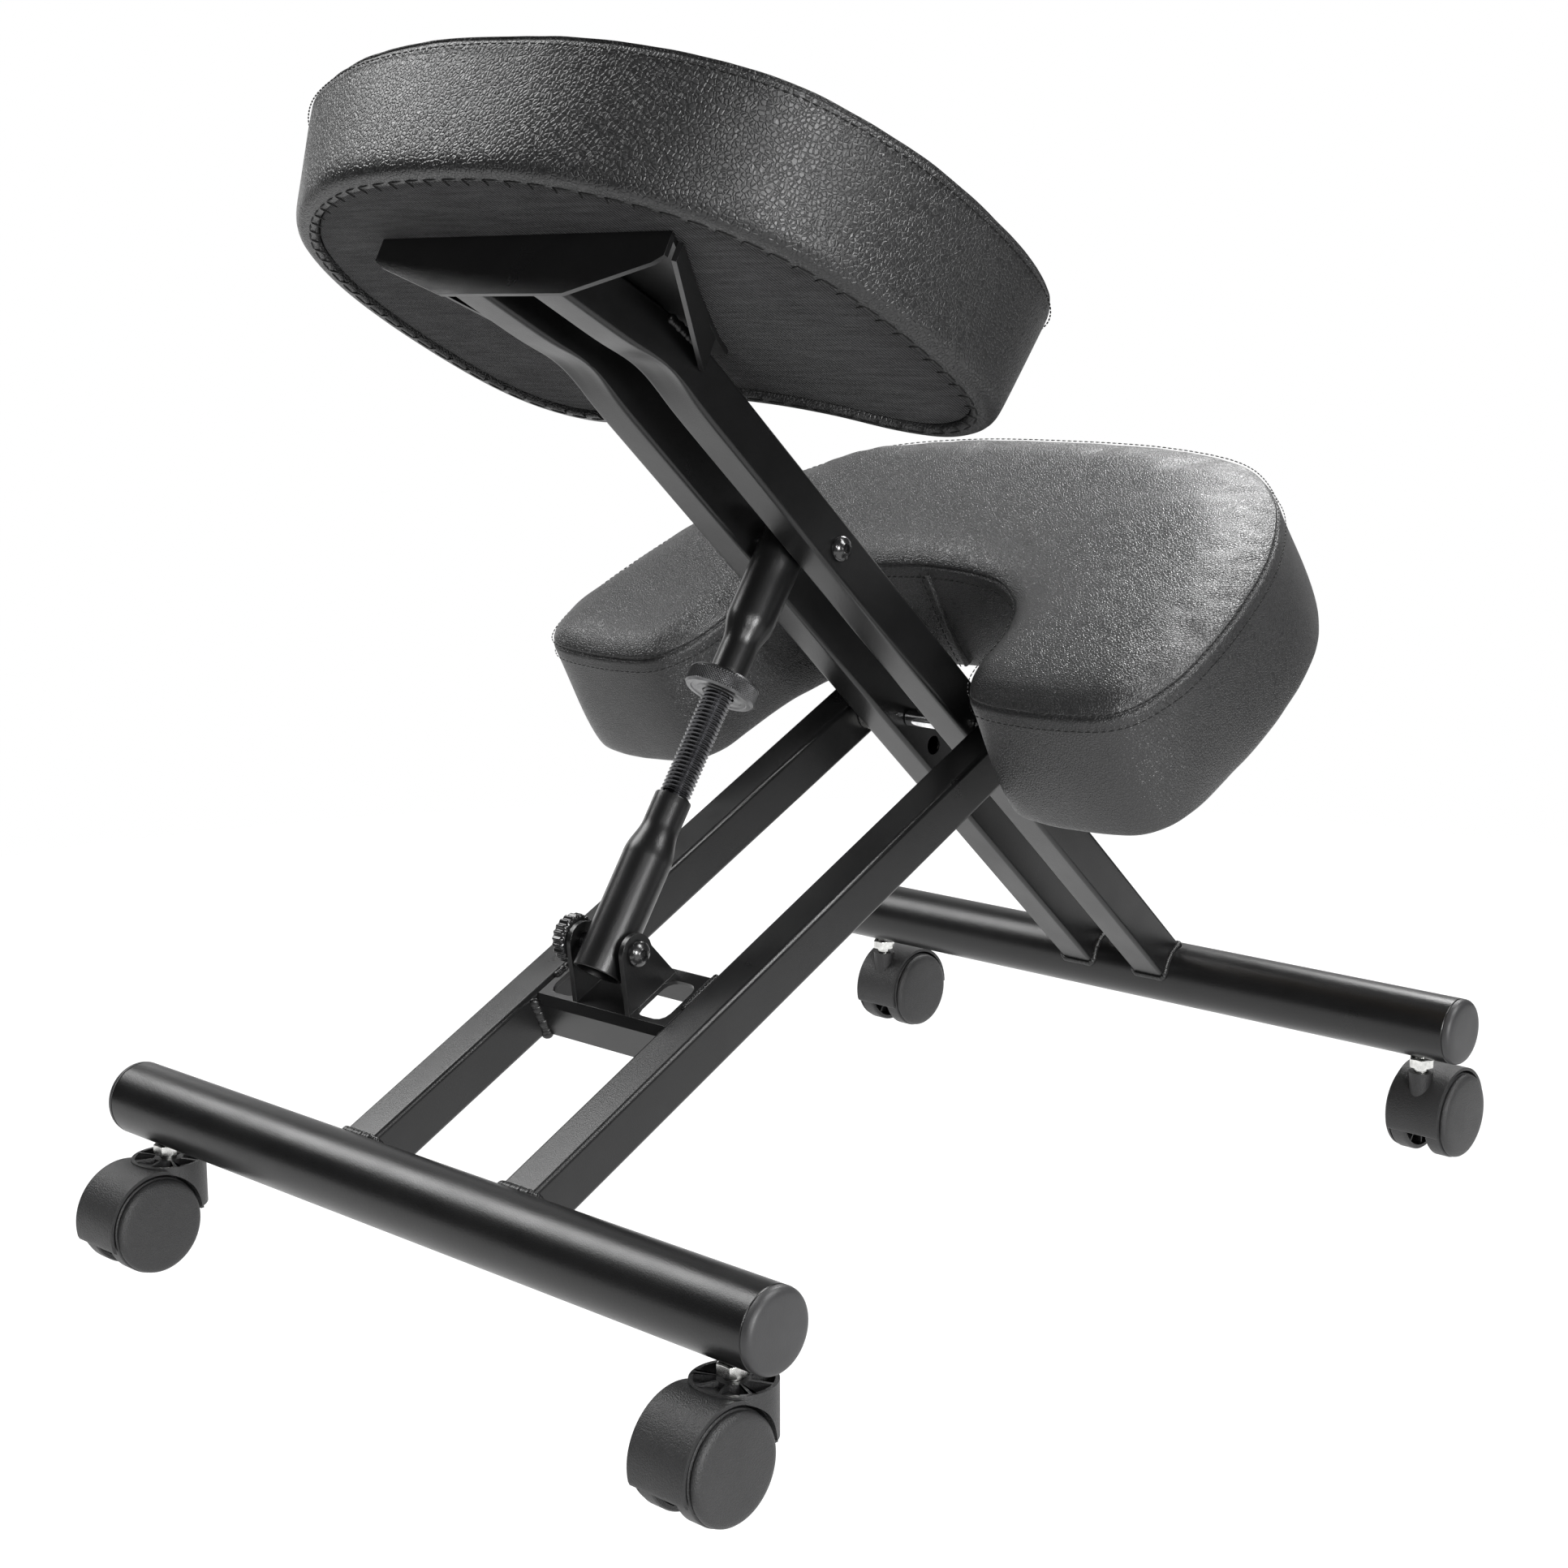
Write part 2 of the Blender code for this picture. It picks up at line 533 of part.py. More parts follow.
def seat():
    low = smooth_loop(mirrored(SEAT_LOW, SEAT_MIDDLE))
    top = smooth_loop(mirrored(SEAT_TOP, SEAT_MIDDLE))
    base, seam, crown = SEAT_BOTTOM_H, SEAT_SEAM_H, SEAT_CROWN_H
    levels = [(base, 0, -0.003), (base + 0.003, 0, 0), (0.032, 0.5, 0.001), (seam, 1, 0),
              (seam + 0.003, 1, -0.005), (crown - 0.002, 1, -0.013), (crown, 1, -0.026)]
    pad = cushion("seat_cushion", low, top, levels, LEATHER, SEAT_PLANE)
    board_line = grown(low, -BOARD_INSET)
    pocket = [at_height(grown(board_line, GAP), h) for h in (base - 0.01, base + BOARD_T + GAP)]
    cut(pad, loft("seat_pocket", pocket, None, SEAT_PLANE))
    board = loft("seat_board", [at_height(board_line, h) for h in (base, base + BOARD_T)],
                 BOARD_CLOTH, SEAT_PLANE)
    for n, (x, s) in enumerate(SEAT_SCREWS):
        cut(board, bar(f"seat_board_hole_{n}", 0.0029, 0.0, 0.0095, None, SEAT_PLANE, 12,
                       location=(x, s, 0)))
        screw(f"seat_screw_{n + 1}", SEAT_PLANE, (x, s, 0), -GAP, 0.0090)


def knee_pad():
    low = smooth_loop(mirrored(PAD_LOW))
    top = smooth_loop(mirrored(PAD_TOP))
    base, seam, crown = PAD_BOTTOM_H, PAD_SEAM_H, PAD_CROWN_H
    levels = [(base, 0, -0.003), (base + 0.003, 0, 0), (0.034, 0.45, 0.006), (seam, 1, 0),
              (seam + 0.004, 1, -0.004), (crown - 0.002, 1, -0.011), (crown, 1, -0.020)]
    pad = cushion("knee_cushion", low, top, levels, LEATHER, KNEE_FRAME)
    board_line = grown(low, -BOARD_INSET)
    bottom = KNEE_BOARD_H
    pocket = [at_height(grown(board_line, GAP), h) for h in (base - 0.01, bottom + BOARD_T + GAP)]
    cut(pad, loft("knee_pocket", pocket, None, KNEE_FRAME))
    mouth = [(x, t) for x, t in ((-0.074, 0.42), (0.074, 0.42), (0.074, 0.49), (-0.074, 0.49))]
    cut(pad, prism("knee_mouth", mouth, -0.02, bottom, None, KNEE_FRAME))
    board = loft("knee_board", [at_height(board_line, h) for h in (bottom, bottom + BOARD_T)],
                 BOARD_WOOD, KNEE_FRAME)
    spots = [(sign * KNEE_TUBE_X, t) for sign in (1, -1) for t in KNEE_SCREW_T]
    for n, (x, t) in enumerate(spots):
        cut(board, bar(f"knee_board_hole_{n}", 0.0029, 0.0, bottom + 0.0085, None, KNEE_FRAME, 12,
                       location=(x, t, 0)))
        screw(f"knee_screw_{n + 1}", KNEE_FRAME, (x, t, 0), -TUBE_D / 2 - GAP, bottom + 0.0080)


# ---- casters ----
def stem(name, x, y):
    """Threaded stud with its hex collar, standing in the base tube's underside."""
    tube_low = -BASE_R - GAP
    r = 0.0075
    profile = [(0, 0.004), (STEM_R, 0.004), (STEM_R, tube_low), (r, tube_low), (r, -0.0252),
               (STEM_R, -0.0252), (STEM_R, -0.046), (0, -0.046)]
    lathe(name, profile, ZINC, segs=16, location=(x, y, AXIS_H))


def hood_blank(name, frame, rise):
    """Round housing about the axle, open below; rise is the free edge's height at +Y."""
    outline = arc(0, 0, HOOD_R, math.degrees(math.asin(rise / HOOD_R)), 193, 19)
    low = [(-0.0264, -0.0080), (-0.0248, -0.0088), (-0.010, -0.0085), (0.008, -0.0085), (0.012, rise)]
    return prism(name, outline + low, -HOOD_HALF, HOOD_HALF, PLASTIC, frame, "x")


def wheel_wells(hood, name, frame):
    for side, sign in (("right", 1), ("left", -1)):
        span = sorted((sign * WEB_HALF, sign * 0.03))
        cut(hood, bar(f"{name}_well_{side}", WELL_R, *span, None, frame, 32, spin=4.0, rotation=(0, 90, 0)))


def stem_cup(name, frame, stem_y):
    """Open-topped collar with a centre post; the pockets leave thin radial ribs."""
    place = {"location": (0, stem_y, 0)}
    cup = bar(f"{name}_cup", CUP_R, 0.0035, 0.0285, None, frame, 32, **place)
    for n in range(8):
        mid = 45 * n
        pocket = arc(0, 0, 0.0171, mid - 20.0, mid + 20.0, 3) + arc(0, 0, 0.0074, mid + 16, mid - 16, 2)
        cut(cup, prism(f"{name}_pocket_{n}", pocket, 0.0095, 0.04, None, frame, **place))
    return cup


def hood(name, frame, stem_y):
    """Twin-wheel housing. A stem ahead of the wheel line gets an open cup, one behind a plain cone."""
    cup = stem_y > 0
    body = hood_blank(name, frame, 0.002 if cup else 0.0006)
    if cup:
        wall = stem_cup(name, frame, stem_y)
    else:
        cone = [(0, 0.0275), (SOCKET_R, 0.0275), (SOCKET_R - 0.0018, 0.004), (0, 0.004)]
        wall = lathe(f"{name}_socket", cone, None, frame, 32, location=(0, stem_y, 0))
    cut(body, wall, "UNION")
    wheel_wells(body, name, frame)
    cut(body, bar(f"{name}_bore", HOLE_R, 0.0075, 0.05, None, frame, 24, spin=5.0, location=(0, stem_y, 0)))
    cut(body, bar(f"{name}_axle_bore", AXLE_R + 0.0001, -0.01, 0.01, None, frame, 24,
                  rotation=(0, 90, 0)))


def wheel(name, frame, sign):
    """Disc wheel, blind on its outer side; one flat of the tread faces the floor."""
    segs = 28
    tread = WHEEL_R / math.cos(math.pi / segs)
    low, high = WHEEL_X
    bore = AXLE_R + 0.0001
    profile = [(0, high), (0.0190, high - 0.0006), (0.0235, high - 0.0022), (tread, high - 0.0050),
               (tread, low), (bore, low), (bore, 0.0150), (0, 0.0150)]
    lathe(name, profile, PLASTIC, frame, segs, spin=180 / segs, rotation=(0, 90 * sign, 0))


def caster(tag, x, y, trail):
    frame = empty(f"{tag}_caster", (x, y + trail, WHEEL_R))
    stem(f"{tag}_stem", x, y)
    hood(f"{tag}_hood", frame, -trail)
    lathe(f"{tag}_axle", [(0, 0.0145), (AXLE_R, 0.0145), (AXLE_R, -0.0145), (0, -0.0145)], ZINC,
          frame, 16, rotation=(0, 90, 0))
    wheel(f"{tag}_wheel_right", frame, 1)
    wheel(f"{tag}_wheel_left", frame, -1)


base_tube("rear_base_tube", -HALF_SPAN)
base_tube("front_base_tube", HALF_SPAN)
end_caps("rear", -HALF_SPAN)
end_caps("front", HALF_SPAN)
knee_tubes()
seat_tubes()
pivot_parts()
jack_bolts()
hand_knob()
jack()
jack_bracket()
seat_bracket()
seat()
knee_pad()
for tag, x in (("right", STEM_X), ("left", -STEM_X)):
    caster(f"rear_{tag}", x, -HALF_SPAN, -TRAIL)
    caster(f"front_{tag}", x, HALF_SPAN, TRAIL)
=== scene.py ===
"""Kneeling massage chair: leather cushions, painted steel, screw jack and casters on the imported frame.

+X is the sitter's right, +Y points forward to the knee pad, +Z is up, and the floor is z = 0.
"""
import math

import bmesh
import bpy
from mathutils import Matrix, Vector, noise
from mathutils.geometry import delaunay_2d_cdt


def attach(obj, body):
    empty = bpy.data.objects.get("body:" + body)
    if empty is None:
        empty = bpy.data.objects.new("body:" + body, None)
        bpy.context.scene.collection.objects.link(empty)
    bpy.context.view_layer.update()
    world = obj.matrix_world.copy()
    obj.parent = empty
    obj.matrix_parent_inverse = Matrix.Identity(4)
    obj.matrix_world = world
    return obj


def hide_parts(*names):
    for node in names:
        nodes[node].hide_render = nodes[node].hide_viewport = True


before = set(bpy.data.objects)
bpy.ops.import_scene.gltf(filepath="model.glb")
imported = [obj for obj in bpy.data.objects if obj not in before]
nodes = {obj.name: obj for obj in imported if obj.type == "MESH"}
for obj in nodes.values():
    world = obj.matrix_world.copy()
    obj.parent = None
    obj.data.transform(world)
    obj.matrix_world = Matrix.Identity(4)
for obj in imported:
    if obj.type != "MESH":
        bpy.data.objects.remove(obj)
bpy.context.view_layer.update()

# ---- measures in metres and degrees ----
AXIS_H, HALF_SPAN = 0.0805, 0.2867
BASE_R, BASE_WALL, BASE_HALF, CAP_T = 0.019, 0.002, 0.2245, 0.0052
TUBE_W, TUBE_D, TUBE_WALL = 0.0225, 0.025, 0.0016
KNEE_TILT, KNEE_OFFSET, KNEE_TUBE_X, KNEE_TUBE_END = 26.1, -0.0033, 0.057, 0.550
SEAT_FRAME_TILT, SEAT_FRAME_OFFSET, SEAT_TUBE_X, SEAT_TILT = 41.7, 0.0005, 0.0269, 28.0
SEAT_REF = Vector((0, -0.212, AXIS_H + 0.436))
PIVOT = Vector((0, 0.0865, AXIS_H + 0.1794))
JACK_LOW = Vector((0, -0.1624, AXIS_H + 0.0968))
JACK_TOP = Vector((0, -0.0344, AXIS_H + 0.286))
SPARE_HOLE, SPARE_R = Vector((0, 0.1081, AXIS_H + 0.1605)), 0.0055
TUBE_CORNER, TUBE_INNER_CORNER = 0.0026, 0.001
BOLT_R, BOLT_BORE_R, BOLT_HEAD_R, BOLT_HEAD_T, BOLT_SOCKET = 0.004, 0.0043, 0.0067, 0.0048, 0.0024
LOCK_NUT_FLATS, LOCK_NUT_T, LOCK_NUT_BORE_R = 0.013, 0.0065, 0.0035
JACK_R, NECK_R, ROD_R, NUT_R = 0.0127, 0.0096, 0.008, 0.01875
THREAD_PITCH, THREAD_DEPTH = 0.00225, 0.0011
NUT_SPAN = (0.140, 0.150)
WHEEL_R, TRAIL, STEM_X, HOOD_R, HOOD_HALF = 0.025, 0.0185, 0.2032, 0.028, 0.016
STEM_R, STEM_HEX, AXLE_R, AXLE_HALF, AXLE_BORE_R = 0.004, 0.0065, 0.003, 0.0145, 0.0031
GAP, MERGE = 0.0003, 0.00001
EAR_REACH = 0.0172 + 0.003 + GAP                      # outer face of the jack bracket's ears
BOARD_INSET, BOARD_T = 0.013, 0.011
SEAT_BASE_H, SEAT_SEAM_H, SEAT_CROWN_H, SEAT_MIDDLE = 0.0028, 0.062, 0.069, -0.010
PAD_BASE_H, PAD_SEAM_H, PAD_CROWN_H = 0.0045, 0.078, 0.088
PAD_BOARD_H = TUBE_D / 2 + GAP

# half outlines as (x, forward) from the front middle round to the rear middle, millimetres
SEAT_LOW = [(0, 166), (30, 170), (61, 180), (92, 195), (120, 200), (147, 191), (167, 171), (178, 138),
            (181, 88), (174, 42), (155, 2), (127, -26), (92, -46), (52, -59), (0, -63)]
SEAT_TOP = [(0, 172), (30, 175), (61, 186), (92, 201), (121, 207), (151, 198), (172, 178), (185, 146),
            (191, 100), (187, 46), (168, -4), (140, -31), (101, -50), (57, -62), (0, -67)]
PAD_LOW = [(0, 598), (70, 596), (128, 583), (165, 557), (189, 520), (202, 478), (208, 432),
           (208, 388), (205, 358), (190, 338), (155, 333), (118, 337), (104, 352), (101, 372),
           (99, 392), (93, 414), (80, 436), (50, 454), (0, 460)]
PAD_TOP = [(0, 592), (70, 589), (128, 575), (165, 545), (187, 510), (201, 474), (209, 436),
           (213, 400), (212, 366), (198, 337), (160, 329), (118, 331), (102, 345), (96, 362),
           (94, 381), (89, 400), (77, 421), (47, 442), (0, 449)]


# ---- frames ----
def turn(axis, degrees):
    return Matrix.Rotation(math.radians(degrees), 4, axis)


def shift(x, y, z):
    return Matrix.Translation((x, y, z))


def at(spot):
    return Matrix.Translation(spot)


def tube_line(tilt, offset, side):
    """Start and direction of a frame tube's centre line."""
    a = math.radians(tilt)
    normal = Vector((0, -side * math.sin(a), math.cos(a)))
    start = Vector((0, -side * HALF_SPAN, AXIS_H)) + normal * offset
    return start, Vector((0, side * math.cos(a), math.sin(a)))


KNEE_START, KNEE_LINE = tube_line(KNEE_TILT, KNEE_OFFSET, 1)
SEAT_START, SEAT_LINE = tube_line(SEAT_FRAME_TILT, SEAT_FRAME_OFFSET, -1)
KNEE = at(KNEE_START) @ turn("X", KNEE_TILT)          # x, along the knee tubes, up from them
SEAT = at(SEAT_REF) @ turn("X", -SEAT_TILT)           # x, forward along the seat plate, up from it
JACK_DIR = (JACK_TOP - JACK_LOW).normalized()
JACK_LEN = (JACK_TOP - JACK_LOW).length
JACK = at(JACK_LOW) @ turn("X", -math.degrees(math.atan2(JACK_DIR.y, JACK_DIR.z)))
TO_RIGHT, TO_LEFT = turn("Y", 90), turn("Y", -90)     # local Z laid along +X or -X
ALONG_X = Matrix(((0, 0, 1, 0), (1, 0, 0, 0), (0, 1, 0, 0), (0, 0, 0, 1)))  # local x, y, z to Y, Z, X


# ---- node building ----
def put(tree, kind, settings=None, **inputs):
    """Adds a node; each input, by its name or as _number, is a value, or a socket or node to link from."""
    node = tree.nodes.new(kind)
    for key, value in (settings or {}).items():
        setattr(node, key, value)
    for label, value in inputs.items():
        socket = node.inputs[int(label[1:])] if label[1:].isdigit() else node.inputs[label.replace("_", " ")]
        if isinstance(value, bpy.types.Node):
            value = next(s for s in value.outputs if s.enabled)
        if isinstance(value, bpy.types.NodeSocket):
            tree.links.new(value, socket)
        else:
            socket.default_value = value
    return node


def math_node(tree, operation, *values):
    inputs = {f"_{i}": value for i, value in enumerate(values)}
    return put(tree, "ShaderNodeMath", {"operation": operation}, **inputs).outputs[0]


def group(name, sockets, results, kind="ShaderNodeTree"):
    """Empty node group with its named inputs and outputs."""
    tree = bpy.data.node_groups.new(name, kind)
    for label, (socket, value) in sockets.items():
        made = tree.interface.new_socket(label, in_out="INPUT", socket_type=f"NodeSocket{socket}")
        if value is not None:
            made.default_value = value
    for label, socket in results.items():
        tree.interface.new_socket(label, in_out="OUTPUT", socket_type=f"NodeSocket{socket}")
    return tree, tree.nodes.new("NodeGroupInput").outputs, tree.nodes.new("NodeGroupOutput").inputs


# ---- shared surface effects ----
def pebble_group():
    """Leather grain: rounded pebbles parted by fine creases, with a slower drift in their size; a second
    output marks the creases, where the colour is darkened as painted shade.
    """
    tree, given, out = group("leather_pebble", {"Position": ("Vector", None), "Scale": ("Float", 600.0),
                                                "Crease": ("Float", 0.5)},
                             {"Height": "Float", "Crease Shade Mask": "Float"})
    warp = put(tree, "ShaderNodeTexNoise", Vector=given["Position"], Scale=90.0, Detail=2.0)
    push = put(tree, "ShaderNodeVectorMath", {"operation": "SCALE"}, _0=warp.outputs["Color"], Scale=0.0022)
    moved = put(tree, "ShaderNodeVectorMath", {"operation": "ADD"}, _0=given["Position"], _1=push)
    cell = put(tree, "ShaderNodeTexVoronoi", {"feature": "DISTANCE_TO_EDGE"}, Vector=moved,
               Scale=given["Scale"])
    edge = put(tree, "ShaderNodeMapRange", {"interpolation_type": "SMOOTHSTEP"},
               Value=cell.outputs["Distance"], From_Max=given["Crease"])
    fine = put(tree, "ShaderNodeTexNoise", Vector=moved, Scale=2600.0, Detail=3.0)
    part = math_node(tree, "MULTIPLY", fine.outputs[0], 0.22)
    tree.links.new(math_node(tree, "ADD", edge.outputs["Result"], part), out["Height"])
    # crease mask, used only to paint shade into the grain's creases
    tree.links.new(math_node(tree, "SUBTRACT", 1.0, edge.outputs["Result"]), out["Crease Shade Mask"])
    return tree


def drift_group():
    """Slow cloudy variation between two values."""
    tree, given, out = group("surface_drift", {"Position": ("Vector", None), "Scale": ("Float", 20.0),
                                               "Low": ("Float", 0.3), "High": ("Float", 0.4)},
                             {"Value": "Float"})
    cloud = put(tree, "ShaderNodeTexNoise", Vector=given["Position"], Scale=given["Scale"], Detail=4.0,
                Roughness=0.6)
    spread = put(tree, "ShaderNodeMapRange", Value=cloud.outputs[0], From_Min=0.3, From_Max=0.7,
                 To_Min=given["Low"], To_Max=given["High"])
    tree.links.new(spread.outputs["Result"], out["Value"])
    return tree


def tooth_group():
    """Fine moulded or sprayed texture."""
    tree, given, out = group("fine_tooth", {"Position": ("Vector", None), "Scale": ("Float", 1500.0),
                                            "Coarse Share": ("Float", 0.3)}, {"Height": "Float"})
    fine = put(tree, "ShaderNodeTexNoise", Vector=given["Position"], Scale=given["Scale"], Detail=2.0)
    third = math_node(tree, "MULTIPLY", given["Scale"], 0.3)
    wide = put(tree, "ShaderNodeTexNoise", Vector=given["Position"], Scale=third, Detail=1.0)
    part = math_node(tree, "MULTIPLY", wide.outputs[0], given["Coarse Share"])
    tree.links.new(math_node(tree, "ADD", fine.outputs[0], part), out["Height"])
    return tree


PEBBLE, DRIFT, TOOTH = pebble_group(), drift_group(), tooth_group()


class Finish:
    """One material under construction; constants go on the shader's own sockets."""

    def __init__(self, name, colour, **constants):
        self.material = bpy.data.materials.new(name)
        self.material.use_nodes = True
        self.tree = self.material.node_tree
        self.shader = self.tree.nodes["Principled BSDF"]
        self.shader.inputs["Base Color"].default_value = (*colour, 1)
        for label, value in constants.items():
            self.shader.inputs[label.replace("_", " ")].default_value = value
        self.position = put(self.tree, "ShaderNodeTexCoord").outputs["Object"]
        self.bump = None

    def use(self, effect, **inputs):
        """Places a shared effect that reads this piece's own coordinates."""
        return put(self.tree, "ShaderNodeGroup", {"node_tree": effect}, Position=self.position, **inputs)

    def roughness(self, low, high, scale=25.0):
        """Roughness that drifts between two values."""
        drift = self.use(DRIFT, Scale=scale, Low=low, High=high)
        self.tree.links.new(drift.outputs["Value"], self.shader.inputs["Roughness"])

    def colours(self, mask, first, second):
        """Base colour blended from the first to the second by a mask."""
        mix = put(self.tree, "ShaderNodeMix", {"data_type": "RGBA"})
        self.tree.links.new(mask, mix.inputs["Factor"])
        mix.inputs["A"].default_value, mix.inputs["B"].default_value = (*first, 1), (*second, 1)
        self.tree.links.new(next(s for s in mix.outputs if s.type == "RGBA" and s.enabled),
                            self.shader.inputs["Base Color"])

    def relief(self, height, depth):
        """Bump of a height from 0 to 1, depth in metres."""
        bump = put(self.tree, "ShaderNodeBump", Strength=1.0, Distance=depth, Height=height)
        if self.bump:
            self.tree.links.new(self.bump, bump.inputs["Normal"])
        self.bump = bump.outputs["Normal"]
        self.tree.links.new(self.bump, self.shader.inputs["Normal"])


def shades(colour, *shares):
    """The same colour, darker or lighter by each share."""
    return [[min(1, c * share) for c in colour] for share in shares]


def painted(name, colour, low, high, tooth, depth, **constants):
    """Painted, plated or moulded finish: cloudy roughness over a fine tooth."""
    made = Finish(name, colour, **constants)
    made.roughness(low, high)
    made.relief(made.use(TOOTH, Scale=tooth).outputs["Height"], depth)
    cloud = made.use(DRIFT, Scale=60.0, Low=0.0, High=1.0)
    made.colours(cloud.outputs["Value"], *shades(colour, 0.88, 1.12))
    return made.material


def leather(name, colour, scale, crease, depth, low, high):
    """Pebbled synthetic leather, with painted shade darkening its creases."""
    made = Finish(name, colour, Specular_IOR_Level=0.5)
    grain = made.use(PEBBLE, Scale=scale, Crease=crease)
    made.relief(grain.outputs["Height"], depth)
    # painted shade: the colour darkens in the creases between pebbles, where shade falls
    crease_shade_mask = math_node(made.tree, "MULTIPLY", grain.outputs["Crease Shade Mask"], 0.55)
    made.colours(crease_shade_mask, *shades(colour, 1.0, 0.35))
    made.roughness(low, high, 12.0)
    return made.material


def ribbed_cloth():
    """Black non-woven cloth with fine pressed ribs and a few slack creases, with painted light and shade in
    its colour: lighter on the rib crests and the raised slack creases.
    """
    made = Finish("ribbed_underside_cloth", (0.028, 0.028, 0.029), Specular_IOR_Level=0.25)
    rib = put(made.tree, "ShaderNodeTexWave", {"bands_direction": "X"}, Vector=made.position, Scale=170.0,
              Distortion=0.6, Detail=2.0, Detail_Scale=0.4)
    fleck = put(made.tree, "ShaderNodeTexNoise", Vector=made.position, Scale=900.0, Detail=3.0)
    squeeze = put(made.tree, "ShaderNodeMapping", Vector=made.position, Scale=(40.0, 420.0, 420.0))
    slack = put(made.tree, "ShaderNodeTexNoise", Vector=squeeze, Scale=1.0, Detail=4.0)
    made.relief(slack.outputs[0], 0.0007)
    made.relief(math_node(made.tree, "ADD", rib.outputs["Fac"], fleck.outputs[0]), 0.0005)
    # painted light and shade: the colour follows the rib and slack-crease relief, lighter where it stands up
    rib_crest_light = math_node(made.tree, "MULTIPLY", rib.outputs["Fac"], fleck.outputs[0])
    shade = math_node(made.tree, "MULTIPLY_ADD", slack.outputs[0], 0.6,
                      math_node(made.tree, "ADD", rib_crest_light, -0.2))
    made.colours(shade, (0.008, 0.008, 0.0082), (0.115, 0.115, 0.117))
    made.roughness(0.78, 0.92)
    return made.material


def plywood():
    """Raw poplar ply with long grain from front to rear."""
    made = Finish("knee_board_plywood", (0.30, 0.20, 0.11), Specular_IOR_Level=0.3)
    stretch = put(made.tree, "ShaderNodeMapping", Vector=made.position, Scale=(180.0, 9.0, 180.0))
    grain = put(made.tree, "ShaderNodeTexNoise", Vector=stretch, Scale=1.0, Detail=6.0, Roughness=0.65)
    made.colours(grain.outputs[0], (0.17, 0.105, 0.055), (0.42, 0.30, 0.18))
    made.relief(grain.outputs[0], 0.0003)
    made.roughness(0.6, 0.8)
    return made.material


def sewing_thread():
    """Twisted black thread."""
    made = Finish("sewing_thread", (0.01, 0.01, 0.01), Specular_IOR_Level=0.25)
    ply = put(made.tree, "ShaderNodeTexWave", {"bands_direction": "DIAGONAL"}, Vector=made.position,
              Scale=1400.0, Distortion=1.0)
    made.relief(ply.outputs["Fac"], 0.0001)
    made.colours(ply.outputs["Fac"], (0.003, 0.003, 0.003), (0.011, 0.011, 0.011))
    made.roughness(0.5, 0.65)
    return made.material


def machined(name, colour, low, high, scale):
    """Bare, plated or oiled steel with very fine tool marks and a cloudy shine."""
    made = Finish(name, colour, Metallic=1.0)
    made.roughness(low, high, 140.0)
    made.relief(made.use(TOOTH, Scale=scale, Coarse_Share=0.6).outputs["Height"], 0.000008)
    cloud = made.use(DRIFT, Scale=220.0, Low=0.0, High=1.0)
    made.colours(cloud.outputs["Value"], *shades(colour, 0.7, 1.2))
    return made.material


POWDER = painted("black_powder_coat", (0.006, 0.006, 0.0062), 0.27, 0.36, 1700.0, 0.00006,
                 Specular_IOR_Level=0.45)
OXIDE = painted("black_oxide_steel", (0.012, 0.012, 0.0125), 0.16, 0.24, 900.0, 0.00002,
                Specular_IOR_Level=0.8)
ZINC = machined("zinc_plate", (0.72, 0.72, 0.70), 0.16, 0.28, 2200.0)
CHROME = machined("polished_chrome", (0.80, 0.80, 0.81), 0.05, 0.10, 2200.0)
NUT_STEEL = machined("gunmetal_nut_steel", (0.16, 0.16, 0.163), 0.28, 0.42, 2600.0)
ROD_STEEL = machined("oiled_thread_steel", (0.10, 0.10, 0.105), 0.20, 0.32, 2600.0)
NYLON = painted("textured_caster_nylon", (0.016, 0.016, 0.0165), 0.42, 0.54, 1500.0, 0.00034,
                Specular_IOR_Level=0.5)
CAP = painted("charcoal_cap_plastic", (0.030, 0.030, 0.031), 0.42, 0.52, 1300.0, 0.00005,
              Specular_IOR_Level=0.45)
KNOB = painted("gloss_knob_plastic", (0.010, 0.010, 0.0105), 0.18, 0.26, 1500.0, 0.00003,
               Specular_IOR_Level=0.55)
SEAT_LEATHER = leather("seat_leather", (0.020, 0.020, 0.0205), 480.0, 0.24, 0.00020, 0.32, 0.42)
PAD_LEATHER = leather("knee_pad_leather", (0.029, 0.029, 0.0295), 700.0, 0.28, 0.00016, 0.32, 0.42)
CLOTH, PLY, THREAD = ribbed_cloth(), plywood(), sewing_thread()


# ---- mesh building ----
def knit(bm, low, high):
    """Faces between two rings of vertices; a ring of one is a pole."""
    count = max(len(low), len(high))
    for i in range(count):
        j = (i + 1) % count
        face = [low[i % len(low)], low[j % len(low)], high[j % len(high)], high[i % len(high)]]
        face = [v for k, v in enumerate(face) if v not in face[:k]]
        if len(face) > 2:
            bm.faces.new(face)


def skin(bm, rings, caps=True, loop=False, place=Matrix()):
    """Skins rings of points, closing the ends flat or the last ring to the first."""
    made = [[bm.verts.new(place @ Vector(p)) for p in ring] for ring in rings]
    for low, high in zip(made[:-1], made[1:]):
        knit(bm, low, high)
    if loop:
        knit(bm, made[-1], made[0])
    elif caps:
        for ring in (made[0][::-1], made[-1]):
            if len(ring) > 2:
                bm.faces.new(ring)
    return made


def turned(bm, profile, segs=48, place=Matrix(), loop=False, start=0.0):
    """Turns an (r, z) outline about Z."""
    rings = []
    for r, z in profile:
        steps = segs if r > 1e-7 else 1
        angles = [start + 2 * math.pi * k / steps for k in range(steps)]
        rings.append([(r * math.cos(a), r * math.sin(a), z) for a in angles])
    return skin(bm, rings, loop=loop, place=place)


def hexed(apothem, segs, share=1.0):
    """Radius of a hexagon at each of segs turns, blended from a circle by share."""
    out = []
    for k in range(segs):
        a = (math.degrees(2 * math.pi * k / segs) % 60) - 30
        out.append(apothem * (share / math.cos(math.radians(a)) + (1 - share)))
    return out


